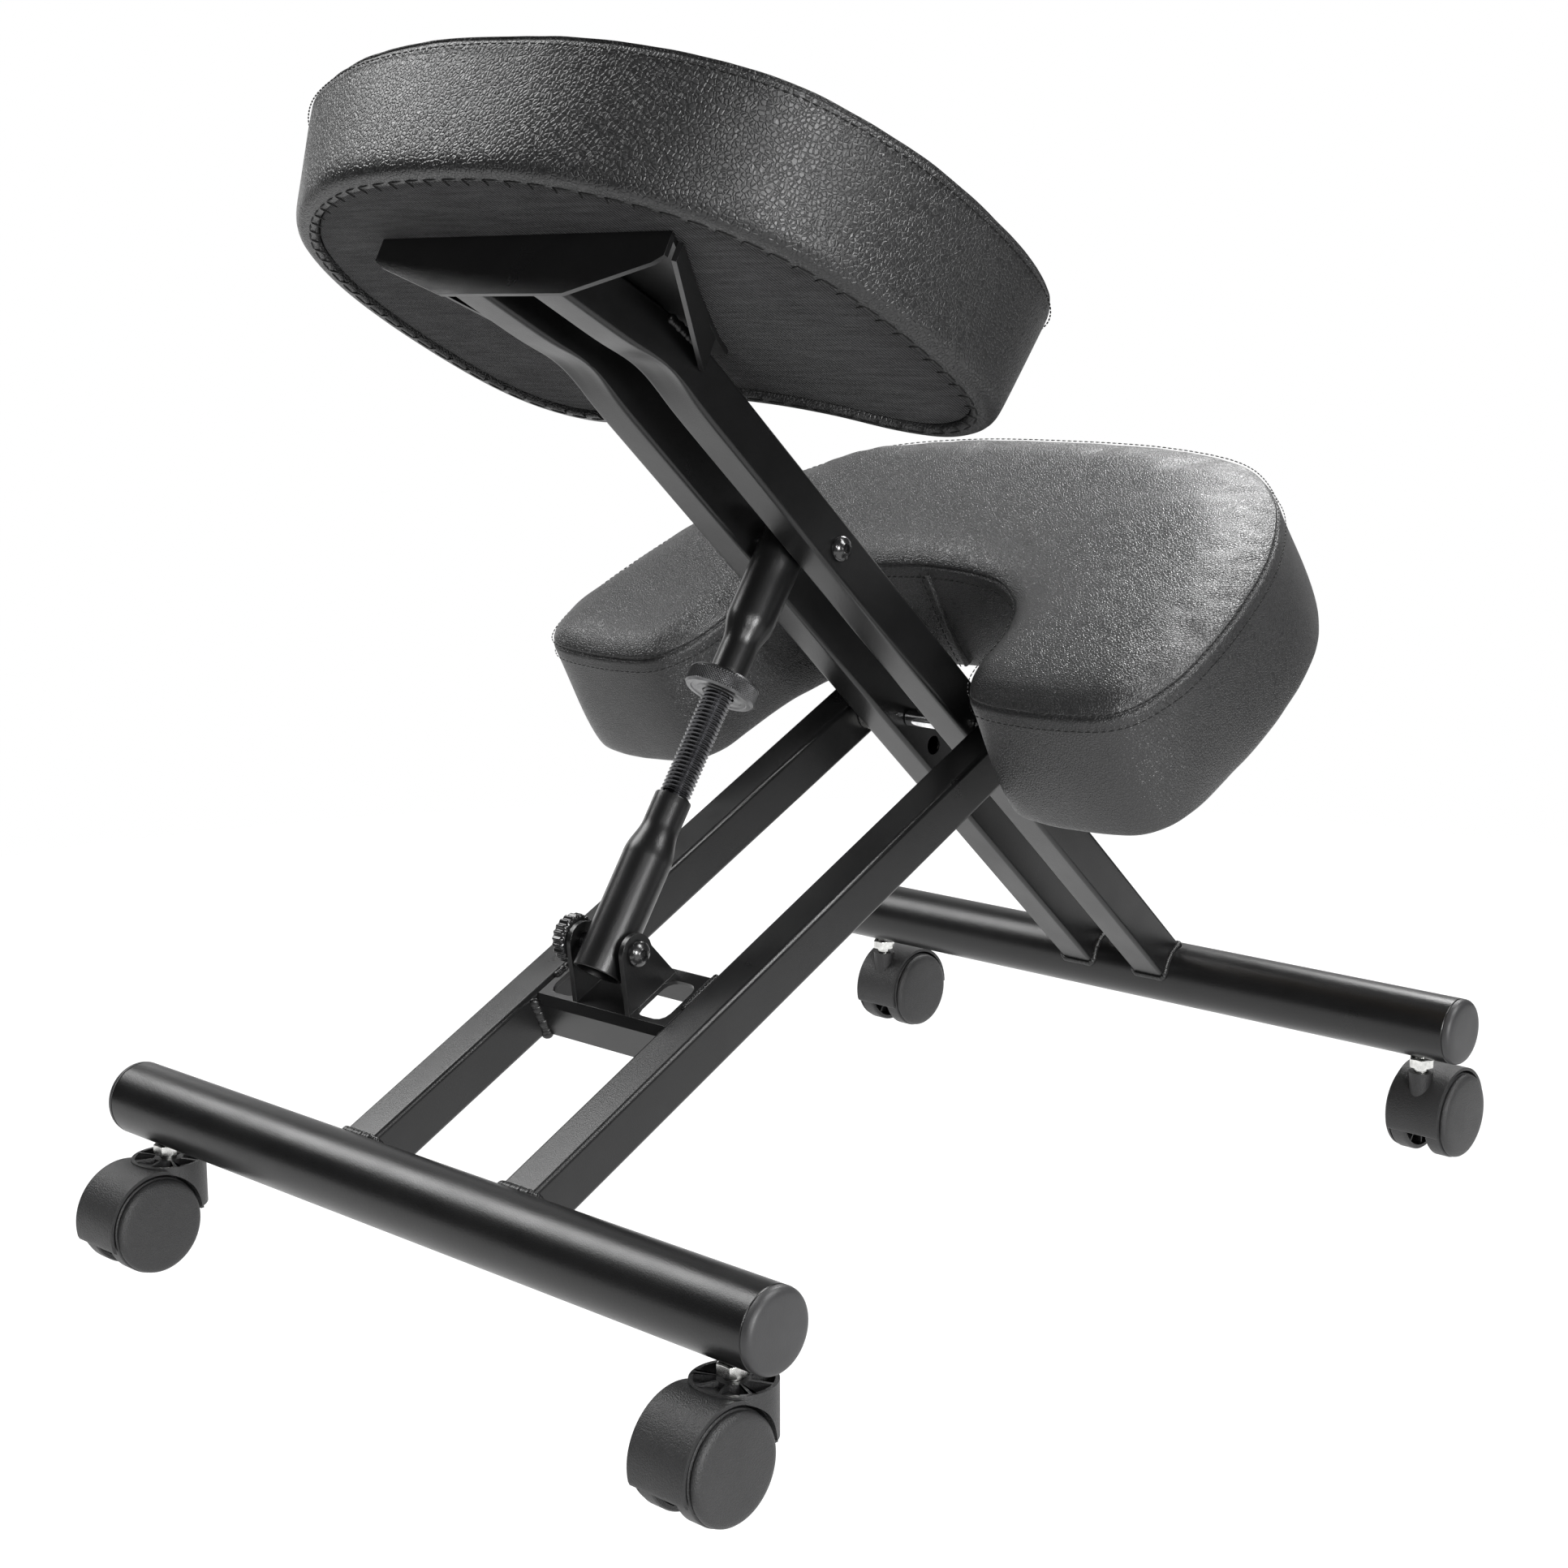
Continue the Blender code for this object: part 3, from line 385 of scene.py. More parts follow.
def round_rings(segs, *levels):
    """Rings about Z from (radius, z) levels; a radius may be a list of segs, and 0 makes a pole."""
    rings = []
    for radius, z in levels:
        radii = radius if isinstance(radius, list) else [radius] * segs
        ring = [(r * math.cos(2 * math.pi * k / segs), r * math.sin(2 * math.pi * k / segs), z)
                for k, r in enumerate(radii)]
        rings.append([(0, 0, z)] if radius == 0 else ring)
    return rings


def arc(cx, cy, radius, start, stop, steps):
    """Points of a circle's part, between two angles in degrees."""
    turns = [math.radians(start + (stop - start) * i / steps) for i in range(steps + 1)]
    return [(cx + radius * math.cos(a), cy + radius * math.sin(a)) for a in turns]


def rounded_box(width, depth, radius, steps=5, flat=1):
    """Section with rounded corners; each flat side is split into flat spans."""
    w, d = width / 2 - radius, depth / 2 - radius
    corners = [(w, d, 0), (-w, d, 90), (-w, -d, 180), (w, -d, 270)]
    out = []
    for n, (cx, cy, a) in enumerate(corners):
        bend = arc(cx, cy, radius, a, a + 90, steps)
        out += bend
        nx, ny, na = corners[(n + 1) % 4]
        ahead = arc(nx, ny, radius, na, na, 1)[0]
        last = bend[-1]
        out += [(last[0] + (ahead[0] - last[0]) * k / flat, last[1] + (ahead[1] - last[1]) * k / flat)
                for k in range(1, flat)]
    return out


def square_tube(flat):
    """Outer and inner sections of a frame tube."""
    hollow = 2 * TUBE_WALL
    return (rounded_box(TUBE_W, TUBE_D, TUBE_CORNER, 5, flat),
            rounded_box(TUBE_W - hollow, TUBE_D - hollow, TUBE_INNER_CORNER, 5, flat))


def mesh_object(name, bm, finish, sharp=32, keep_normals=False):
    if not keep_normals:
        bmesh.ops.recalc_face_normals(bm, faces=bm.faces)
    mesh = bpy.data.meshes.new(name)
    bm.to_mesh(mesh)
    bm.free()
    mesh.materials.append(finish)
    mesh.shade_smooth()
    mesh.set_sharp_from_angle(angle=math.radians(sharp))
    obj = bpy.data.objects.new(name, mesh)
    bpy.context.scene.collection.objects.link(obj)
    return obj


def plain(obj):
    """Turns what the modifiers make into the object's own mesh."""
    graph = bpy.context.evaluated_depsgraph_get()
    mesh = bpy.data.meshes.new_from_object(obj.evaluated_get(graph), preserve_all_data_layers=True,
                                           depsgraph=graph)
    obj.modifiers.clear()
    old, obj.data = obj.data, mesh
    bpy.data.meshes.remove(old)
    return obj


def carve(obj, cutter, how="DIFFERENCE"):
    """Cuts one closed shape from another, or joins them; the cutter is used up."""
    mod = obj.modifiers.new("carve", "BOOLEAN")
    mod.operation, mod.solver, mod.object = how, "EXACT", cutter
    plain(obj)
    bpy.data.objects.remove(cutter)
    return obj


def eased(obj, width, angle=32, segments=2):
    """Small rounded edges that catch the light."""
    mod = obj.modifiers.new("eased_edges", "BEVEL")
    mod.width, mod.segments, mod.limit_method = width, segments, "ANGLE"
    mod.angle_limit = math.radians(angle)
    return obj


def flat_true(obj):
    """Normals that keep flat faces flat beside their rounded edges."""
    mod = obj.modifiers.new("even_shading", "WEIGHTED_NORMAL")
    mod.keep_sharp = True
    return obj


def fit(obj, body, stands_for=()):
    """Puts a finished piece on its body and hides the frame parts it replaces."""
    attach(obj, body)
    if stands_for:
        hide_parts(*([stands_for] if isinstance(stands_for, str) else stands_for))
    return obj


def hard(name, bm, finish, body, stands_for=(), ease=0.0, sharp=32):
    """Finished rigid piece."""
    obj = mesh_object(name, bm, finish, sharp)
    if ease:
        eased(obj, ease)
    return fit(flat_true(obj), body, stands_for)


def refined(node, name, body, ease):
    """Merged copy of a painted frame part with eased edges."""
    bm = bmesh.new()
    bm.from_mesh(nodes[node].data)
    bmesh.ops.remove_doubles(bm, verts=bm.verts, dist=MERGE)
    bmesh.ops.dissolve_limit(bm, angle_limit=math.radians(1.0), verts=bm.verts, edges=bm.edges)
    return hard(name, bm, POWDER, body, node, ease)


# ---- geometry node plans ----
def plan(name, sockets):
    """Empty geometry tree with its named sizes."""
    given = {"Geometry": ("Geometry", None), **sockets, "Finish": ("Material", None)}
    return group(name, given, {"Geometry": "Geometry"}, "GeometryNodeTree")


def close_plan(tree, given, out, shape, smooth=True):
    """Ends a plan with real geometry, its shading and its finish."""
    whole = put(tree, "GeometryNodeRealizeInstances", Geometry=shape)
    soft = put(tree, "GeometryNodeSetShadeSmooth", Geometry=whole, Shade_Smooth=smooth)
    dressed = put(tree, "GeometryNodeSetMaterial", Geometry=soft, Material=given["Finish"])
    tree.links.new(dressed.outputs[0], out["Geometry"])
    return tree


def facing(tree, first, first_axis, second, second_axis):
    """Rotation that lays one local axis exactly on a vector and another as near as it can to a second."""
    base = put(tree, "FunctionNodeAlignRotationToVector", {"axis": first_axis}, Vector=first)
    return put(tree, "FunctionNodeAlignRotationToVector", {"axis": second_axis, "pivot_axis": first_axis},
               Rotation=base, Vector=second)


def stored(tree, label):
    return put(tree, "GeometryNodeInputNamedAttribute", {"data_type": "FLOAT_VECTOR"}, Name=label)


def bead(tree, length, width, height, segments=6, rings=4):
    """Small ball drawn out to three sizes."""
    ball = put(tree, "GeometryNodeMeshUVSphere", Segments=segments, Rings=rings, Radius=0.5)
    size = put(tree, "ShaderNodeCombineXYZ", X=length, Y=width, Z=height)
    return put(tree, "GeometryNodeTransform", Geometry=ball, Scale=size)


def stitch_plan():
    """Even stitches along a line; Tick adds a thread square to each one, as in an overcast hem."""
    tree, given, out = plan("stitch_run", {"Pitch": ("Float", 0.004), "Length": ("Float", 0.003),
                                           "Thickness": ("Float", 0.0007), "Tick": ("Float", 0.0)})
    line = put(tree, "GeometryNodeMeshToCurve", Mesh=given["Geometry"])
    even = put(tree, "GeometryNodeResampleCurve", {"mode": "LENGTH"}, Curve=line, Length=given["Pitch"])
    run = bead(tree, given["Length"], given["Thickness"], given["Thickness"])
    cross = bead(tree, given["Thickness"], given["Tick"], given["Thickness"])
    half = math_node(tree, "MULTIPLY", given["Length"], 0.45)
    reach = math_node(tree, "MULTIPLY", given["Tick"], 0.45)
    corner = put(tree, "GeometryNodeTransform", Geometry=cross,
                 Translation=put(tree, "ShaderNodeCombineXYZ", X=half, Y=reach, Z=0.0))
    both = put(tree, "GeometryNodeJoinGeometry")
    for part in (run, corner):
        tree.links.new(part.outputs[0], both.inputs[0])
    lie = facing(tree, put(tree, "GeometryNodeInputTangent"), "X", stored(tree, "out"), "Z")
    sewn = put(tree, "GeometryNodeInstanceOnPoints", Points=even, Instance=both, Rotation=lie)
    return close_plan(tree, given, out, sewn)


def weld_plan():
    """Overlapping ripples of a weld bead along a line."""
    tree, given, out = plan("weld_bead", {"Pitch": ("Float", 0.0012), "Width": ("Float", 0.005),
                                          "Height": ("Float", 0.003)})
    line = put(tree, "GeometryNodeMeshToCurve", Mesh=given["Geometry"])
    even = put(tree, "GeometryNodeResampleCurve", {"mode": "LENGTH"}, Curve=line, Length=given["Pitch"])
    length = math_node(tree, "MULTIPLY", given["Width"], 0.9)
    ripple = bead(tree, length, given["Width"], given["Height"], 12, 8)
    lie = facing(tree, put(tree, "GeometryNodeInputTangent"), "X", stored(tree, "out"), "Z")
    swell = put(tree, "FunctionNodeRandomValue", {"data_type": "FLOAT"}, Seed=7)
    swell.inputs[2].default_value, swell.inputs[3].default_value = 0.88, 1.12
    laid = put(tree, "GeometryNodeInstanceOnPoints", Points=even, Instance=ripple, Rotation=lie,
               Scale=swell.outputs[1])
    return close_plan(tree, given, out, laid)


def lattice(tree, across, up):
    """Plain grid whose own columns and rows come out as 0..1 fields."""
    grid = put(tree, "GeometryNodeMeshGrid", Size_X=1.0, Size_Y=1.0, Vertices_X=across, Vertices_Y=up)
    spot = put(tree, "ShaderNodeSeparateXYZ", Vector=put(tree, "GeometryNodeInputPosition"))
    return grid, math_node(tree, "ADD", spot.outputs[0], 0.5), math_node(tree, "ADD", spot.outputs[1], 0.5)


def polar(tree, radius, angle, height):
    """Point at a radius and angle about Z."""
    x, y = (math_node(tree, "MULTIPLY", radius, math_node(tree, way, angle)) for way in ("COSINE", "SINE"))
    return put(tree, "ShaderNodeCombineXYZ", X=x, Y=y, Z=height)


def thread_plan():
    """Screw thread: grid rows wound round the rod so that each row keeps its place on the crest."""
    tree, given, out = plan("screw_thread", {"Radius": ("Float", 0.008), "Depth": ("Float", 0.001),
                                             "Pitch": ("Float", 0.002), "Turns": ("Float", 50.0),
                                             "Segments": ("Int", 32)})
    rows = math_node(tree, "ADD", math_node(tree, "MULTIPLY", given["Turns"], 6.0), 1.0)
    across = math_node(tree, "ADD", given["Segments"], 1.0)
    grid, u, v = lattice(tree, across, rows)
    turns = math_node(tree, "MULTIPLY", v, given["Turns"])
    phase = math_node(tree, "FRACT", math_node(tree, "ADD", turns, 0.0005))
    crest = put(tree, "ShaderNodeMapRange", {"interpolation_type": "LINEAR"},
                Value=math_node(tree, "PINGPONG", phase, 0.5), From_Min=0.12, From_Max=0.40)
    deep = math_node(tree, "MULTIPLY", math_node(tree, "SUBTRACT", 1.0, crest.outputs[0]), given["Depth"])
    radius = math_node(tree, "SUBTRACT", given["Radius"], deep)
    inside = math_node(tree, "MULTIPLY", math_node(tree, "GREATER_THAN", v, 0.0001),
                       math_node(tree, "LESS_THAN", v, 0.9999))
    angle = math_node(tree, "MULTIPLY", u, 2 * math.pi)
    height = math_node(tree, "MULTIPLY", math_node(tree, "ADD", turns, u), given["Pitch"])
    placed = put(tree, "GeometryNodeSetPosition", Geometry=grid,
                 Position=polar(tree, math_node(tree, "MULTIPLY", radius, inside), angle, height))
    joined = put(tree, "GeometryNodeMergeByDistance", Geometry=placed, Distance=MERGE)
    return close_plan(tree, given, out, joined)


def knurl_plan():
    """Diamond knurl: four-sided points in staggered rows round a rim."""
    tree, given, out = plan("diamond_knurl", {"Radius": ("Float", 0.018), "Count": ("Int", 72),
                                              "Rows": ("Int", 9), "Band": ("Float", 0.0076),
                                              "Depth": ("Float", 0.0005)})
    grid, u, v = lattice(tree, given["Count"], given["Rows"])
    last = math_node(tree, "SUBTRACT", given["Rows"], 1.0)
    column = math_node(tree, "MULTIPLY", u, math_node(tree, "SUBTRACT", given["Count"], 1.0))
    row = math_node(tree, "ROUND", math_node(tree, "MULTIPLY", v, last))
    stagger = math_node(tree, "MULTIPLY", math_node(tree, "MODULO", row, 2.0), 0.5)
    pace = math_node(tree, "DIVIDE", 2 * math.pi, given["Count"])
    angle = math_node(tree, "MULTIPLY", math_node(tree, "ADD", column, stagger), pace)
    height = math_node(tree, "MULTIPLY", math_node(tree, "SUBTRACT", v, 0.5), given["Band"])
    placed = put(tree, "GeometryNodeSetPosition", Geometry=grid,
                 Position=polar(tree, given["Radius"], angle, height))
    point = put(tree, "GeometryNodeMeshCone", {"fill_type": "NONE"}, Vertices=4, Side_Segments=1,
                Radius_Top=0.0, Radius_Bottom=1.0, Depth=1.0)
    wide = math_node(tree, "MULTIPLY", math_node(tree, "MULTIPLY", pace, given["Radius"]), 0.5)
    tall = math_node(tree, "DIVIDE", given["Band"], last)
    size = put(tree, "ShaderNodeCombineXYZ", X=tall, Y=wide, Z=given["Depth"])
    away = put(tree, "ShaderNodeVectorMath", {"operation": "MULTIPLY"},
               _0=put(tree, "GeometryNodeInputPosition"), _1=(1.0, 1.0, 0.0))
    lie = facing(tree, away, "Z", (0.0, 0.0, 1.0), "X")
    cut = put(tree, "GeometryNodeInstanceOnPoints", Points=placed, Instance=point, Rotation=lie, Scale=size)
    return close_plan(tree, given, out, cut, smooth=False)


def spread_plan():
    """Copies of one made part on points, each turned to its point's own directions."""
    tree, given, out = plan("set_of_parts", {"Part": ("Object", None), "Size": ("Float", 1.0)})
    part = put(tree, "GeometryNodeObjectInfo", Object=given["Part"])
    lie = facing(tree, stored(tree, "out"), "Z", stored(tree, "along"), "X")
    copies = put(tree, "GeometryNodeInstanceOnPoints", Points=given["Geometry"],
                 Instance=part.outputs["Geometry"], Rotation=lie, Scale=given["Size"])
    return close_plan(tree, given, out, copies)


STITCHES, WELD, SCREW_THREAD = stitch_plan(), weld_plan(), thread_plan()
KNURL, SPREAD = knurl_plan(), spread_plan()


def line_mesh(name, points, outs, closed, alongs=None):
    """Line of points that each carry their outward direction; loose points carry a second one too."""
    mesh = bpy.data.meshes.new(name)
    count = len(points)
    edges = [] if alongs else [(i, (i + 1) % count) for i in range(count if closed else count - 1)]
    mesh.from_pydata([tuple(p) for p in points], edges, [])
    for label, vectors in (("out", outs), ("along", alongs)):
        if vectors:
            made = mesh.attributes.new(label, "FLOAT_VECTOR", "POINT")
            made.data.foreach_set("vector", [c for v in vectors for c in v])
    return mesh


def repeat(name, tree, finish, body, slot, source=None, place=None, sharp=None, **sizes):
    """Runs a plan with its sizes and keeps the result as a plain mesh."""
    obj = bpy.data.objects.new(name, source or bpy.data.meshes.new(name))
    bpy.context.scene.collection.objects.link(obj)
    mod = obj.modifiers.new("plan", "NODES")
    mod.node_group = tree
    sockets = {s.name: s.identifier for s in tree.interface.items_tree if s.in_out == "INPUT"}
    for label, value in {**sizes, "Finish": finish}.items():
        mod[sockets[label]] = value
    bpy.context.view_layer.update()
    plain(obj)
    if place:
        obj.data.transform(place)
    if sharp:
        obj.data.shade_smooth()
        obj.data.set_sharp_from_angle(angle=math.radians(sharp))
    return fit(obj, body)


def sew(name, place, points, outs, body, closed=True, **sizes):
    """Row of stitches along points given in a cushion's own frame."""
    turn_only = place.to_3x3()
    line, faces_out = [place @ Vector(p) for p in points], [turn_only @ Vector(o) for o in outs]
    source = line_mesh(name, line, faces_out, closed)
    return repeat(name, STITCHES, THREAD, body, None, source, **sizes)


def weld(name, path, out, body, width, height, closed=False):
    """Rippled weld bead along a path."""
    outs = [Vector(out)] * len(path) if isinstance(out, (tuple, Vector)) else out
    return repeat(name, WELD, POWDER, body, "frame_paint", line_mesh(name, path, outs, closed),
                  Pitch=width * 0.28, Width=width, Height=height)


# ---- cushions ----
def mirrored(half, middle):
    """Whole outline in metres from its right half in millimetres."""
    right = [Vector((x, y)) * 0.001 for x, y in half]
    return [p + Vector((middle, 0)) for p in right + [Vector((-p.x, p.y)) for p in right[-2:0:-1]]]


def smooth_loop(points, steps=12):
    """Smooth closed curve through the points."""
    out, count = [], len(points)
    for i in range(count):
        a, b, c, d = (points[(i + k) % count] for k in (-1, 0, 1, 2))
        for k in range(steps):
            t = k / steps
            out.append(0.5 * (2 * b + (c - a) * t + (2 * a - 5 * b + 4 * c - d) * t * t
                              + (3 * b - a - 3 * c + d) * t ** 3))
    return out


def evened(low, top, spacing):
    """The two loops again, with matching points spaced evenly along their middle."""
    middle = [(a + b) / 2 for a, b in zip(low, top)]
    count = len(middle)
    marks = [0.0]
    for i in range(count):
        marks.append(marks[-1] + (middle[(i + 1) % count] - middle[i]).length)
    total = round(marks[-1] / spacing)
    out_low, out_top, i = [], [], 0
    for k in range(total):
        want = marks[-1] * k / total
        while marks[i + 1] < want:
            i += 1
        share = (want - marks[i]) / (marks[i + 1] - marks[i])
        j = (i + 1) % count
        out_low.append(low[i].lerp(low[j], share))
        out_top.append(top[i].lerp(top[j], share))
    return out_low, out_top


def outward(loop):
    """Unit outward normals of a clockwise loop."""
    count = len(loop)
    runs = [(loop[(i + 1) % count] - loop[i - 1]).normalized() for i in range(count)]
    return [Vector((-r.y, r.x)) for r in runs]


def grown(loop, amount):
    """The loop moved outwards, or inwards when the amount is negative."""
    return [p + n * amount for p, n in zip(loop, outward(loop))]


def edge_distance(p, loop):
    """Distance from a point to a closed loop, negative outside it."""
    best, inside = 1e9, False
    for a, b in zip(loop, loop[1:] + loop[:1]):
        run = b - a
        t = max(0.0, min(1.0, (p - a).dot(run) / run.length_squared))
        best = min(best, (p - a - run * t).length_squared)
        if (a.y > p.y) != (b.y > p.y) and p.x < a.x + (p.y - a.y) / (b.y - a.y) * run.x:
            inside = not inside
    return math.sqrt(best) * (1 if inside else -1)


def filled(bm, ring, spacing, height):
    """Closes a ring with an even net of triangles; height gives each inner point's level."""
    loop = [Vector((v.co.x, v.co.y)) for v in ring]
    inner = []
    if spacing:
        xs, ys = [p.x for p in loop], [p.y for p in loop]
        rise, clear = spacing * 0.866, spacing * 0.62      # row step of an even net, margin at its edge
        for row in range(int((max(ys) - min(ys)) / rise) + 2):
            for col in range(int((max(xs) - min(xs)) / spacing) + 2):
                p = Vector((min(xs) + (col + 0.5 * (row % 2)) * spacing, min(ys) + row * rise))
                if edge_distance(p, loop) > clear:
                    inner.append(p)
    count = len(loop)
    verts = list(ring) + [bm.verts.new((p.x, p.y, height(p))) for p in inner]
    net = delaunay_2d_cdt(loop + inner, [(i, (i + 1) % count) for i in range(count)], [], 1, 1e-7)
    sources = [v[0] for v in net[3]]
    for face in net[2]:
        bm.faces.new([verts[sources[i]] for i in face])
    return verts[count:]


def dome(distance, seam, crown, width, fullness=2.3):
    """Height of a crowned panel at a distance inside its seam."""
    share = min(1.0, max(0.0, distance) / width)
    return seam + (crown - seam) * (1 - (1 - share) ** fullness)


class Cushion:
    """Leather shell: turned-under hem, board pocket, side panel, sewn seam and crowned top panel."""

    spacing = 0.0055

    def __init__(self, low, top, middle, base, seam, crown, roll, hem, belly):
        loops = [smooth_loop(mirrored(half, middle)) for half in (low, top)]
        self.low, self.top = evened(*loops, self.spacing)
        self.base, self.seam, self.crown = base, seam, crown
        self.roll, self.hem, self.belly = roll, hem, belly

    def ring(self, height, growth):
        """Outline at a height, grown outwards."""
        share = min(1.0, max(0.0, (height - self.base) / (self.seam - self.base)))
        loop = [a.lerp(b, share) for a, b in zip(self.low, self.top)]
        swell = self.belly * 6.75 * share * (1 - share) ** 2       # 6.75 makes the peak one belly deep
        return [(p.x, p.y, height) for p in grown(loop, growth + swell)]

    def shell(self, name, finish, pocket_top, bulge, swell, place):
        """Cover whose side may bulge and whose top may swell by set amounts.

        Levels are (height, growth, held by sewing), from the board pocket round to the top panel.
        """
        base, seam = self.base, self.seam
        fold, lip = base - self.hem, base + 0.0022
        levels = [(pocket_top, -BOARD_INSET - GAP, 1), (base, -BOARD_INSET - GAP, 1),
                  (fold, -BOARD_INSET + 0.0012, 1), (fold - 0.0002, -0.0085, 1),
                  (fold + 0.0002, -0.0045, 1), (fold + 0.0014, -0.0018, 1), (lip, -0.0002, 1)]
        levels += [(lip + (seam - 0.0040 - base) * (k / 10), 0.0, 0) for k in range(1, 10)]
        levels += [(seam - 0.0022, 0.0, 1), (seam - 0.0010, -0.0004, 1), (seam, -0.0032, 1),
                   (seam + 0.0011, -0.0013, 1)]

        def panel(depth):
            return dome(depth, seam + 0.0006, self.crown, self.roll)

        levels += [(panel(depth), -depth, 0) for depth in (0.0022, 0.0045, 0.0078, 0.0116)]
        bm = bmesh.new()
        rings = skin(bm, [self.ring(h, g) for h, g, _ in levels], caps=False)
        held = {v for ring, level in zip(rings, levels) if level[2] for v in ring}
        held |= set(filled(bm, rings[0], 0, None))
        seam_loop = [Vector((v.co.x, v.co.y)) for v in rings[-5]]
        inner = filled(bm, rings[-1], self.spacing * 1.15, lambda p: panel(edge_distance(p, seam_loop)))
        bmesh.ops.recalc_face_normals(bm, faces=bm.faces)
        top = set(inner) | {v for ring in rings[-4:] for v in ring}
        bm.verts.index_update()
        pinned = [v.index for v in held]
        limits = [swell if v in top else bulge for v in bm.verts]
        crease = bm.edges.layers.float.new("crease_edge")
        for ring, hardness in ((rings[2], 0.7), (rings[-5], 0.6)):
            for a, b in zip(ring, ring[1:] + ring[:1]):
                bm.edges.get((a, b))[crease] = hardness
        obj = mesh_object(name, bm, finish, sharp=180, keep_normals=True)
        self.inflate(obj, pinned, limits)
        self.pucker(obj)
        obj.data.transform(place)
        return obj

    def inflate(self, obj, pinned, limits):
        """Cloth swells the panels between their sewn lines, then each point's travel is limited."""
        rest = [v.co.copy() for v in obj.data.vertices]
        obj.vertex_groups.new(name="sewn").add(pinned, 1.0, "REPLACE")
        cloth = obj.modifiers.new("cloth", "CLOTH")
        leather_cloth = cloth.settings
        leather_cloth.vertex_group_mass = "sewn"
        leather_cloth.use_pressure, leather_cloth.uniform_pressure_force = True, 4.0
        leather_cloth.effector_weights.gravity = 0.0
        leather_cloth.quality, leather_cloth.mass = 6, 0.3
        leather_cloth.tension_stiffness = leather_cloth.compression_stiffness = 20.0
        leather_cloth.bending_stiffness = 1.5
        last_step = 20
        cloth.point_cache.frame_start, cloth.point_cache.frame_end = 1, last_step
        scene = bpy.context.scene
        for step in range(1, last_step + 1):
            scene.frame_set(step)
        plain(obj)
        scene.frame_set(1)
        obj.vertex_groups.clear()
        for v, start, limit in zip(obj.data.vertices, rest, limits):
            travel = v.co - start
            length = travel.length
            if length > 1e-7:
                v.co = start + travel * (limit * math.tanh(length / limit) / length)

    def pucker(self, obj):
        """Small pulls in the leather beside the sewn lines and slow unevenness in the foam."""
        mesh = obj.data
        normals = [v.normal.copy() for v in mesh.vertices]
        for v, n in zip(mesh.vertices, normals):
            near = (math.exp(-((v.co.z - self.seam) / 0.010) ** 2)
                    + math.exp(-((v.co.z - self.base) / 0.008) ** 2))
            tight = noise.noise(v.co * 85) * 0.0005 * near
            slow = noise.noise(v.co * 16 + Vector((3.1, 0.7, 5.2))) * 0.0009
            if v.co.z > self.base + 0.001:
                v.co += n * (tight + slow)

    def outs(self, up=0.0):
        """Outward directions round the top outline, tipped up."""
        return [Vector((n.x, n.y, up)).normalized() for n in outward(self.top)]


def soft_finish(obj, body, node):
    smooth = obj.modifiers.new("smooth_leather", "SUBSURF")
    smooth.levels = smooth.render_levels = 1
    fit(obj, body, node)


def board(name, cushion, finish, low, high, body, node, place):
    """Stiff board inside a cushion's hem, with an eased lower edge and an even net on its underside."""
    line = grown(cushion.low, -BOARD_INSET)
    bm = bmesh.new()
    rings = skin(bm, [[(p.x, p.y, h) for p in grown(line, g)] for h, g in
                      ((low, -0.0012), (low + 0.0004, -0.0003), (low + 0.0012, 0), (high, 0))], caps=False)
    filled(bm, rings[-1], 0, None)
    filled(bm, rings[0], 0.008, lambda p: low)
    obj = mesh_object(name, bm, finish)
    obj.data.transform(place)
    return fit(obj, body, node)


def lap_seam(name, cushion, spot, finish, place, body):
    """Upright panel seam nearest a spot: a folded leather lap with a stitch row beside it."""
    middle = [(a + b) / 2 for a, b in zip(cushion.low, cushion.top)]
    near = min(range(len(middle)), key=lambda i: (middle[i] - Vector(spot)).length)
    heights = [cushion.base + (cushion.seam - cushion.base) * t / 16 for t in range(1, 16)]
    path = []
    for h in heights:
        ring = cushion.ring(h, 0.0)
        p = Vector(ring[near])
        run = (Vector(ring[(near + 1) % len(ring)]) - Vector(ring[near - 1])).normalized()
        path.append((p, run, Vector((-run.y, run.x, 0))))
    fold = ((-0.0011, -0.002), (-0.0011, 0.0022), (-0.0006, 0.0029), (0.0004, 0.0030), (0.0011, 0.0022),
            (0.0011, -0.002))
    bm = bmesh.new()
    skin(bm, [[p + run * x + n * y for x, y in fold] for p, run, n in path], place=place)
    fit(mesh_object(name, bm, finish, sharp=60), body)
    sew(f"{name}_stitches", place, [p + run * 0.0042 + n * 0.0022 for p, run, n in path],
        [n for p, run, n in path], body, closed=False, Pitch=0.0042, Length=0.0030, Thickness=0.0007)


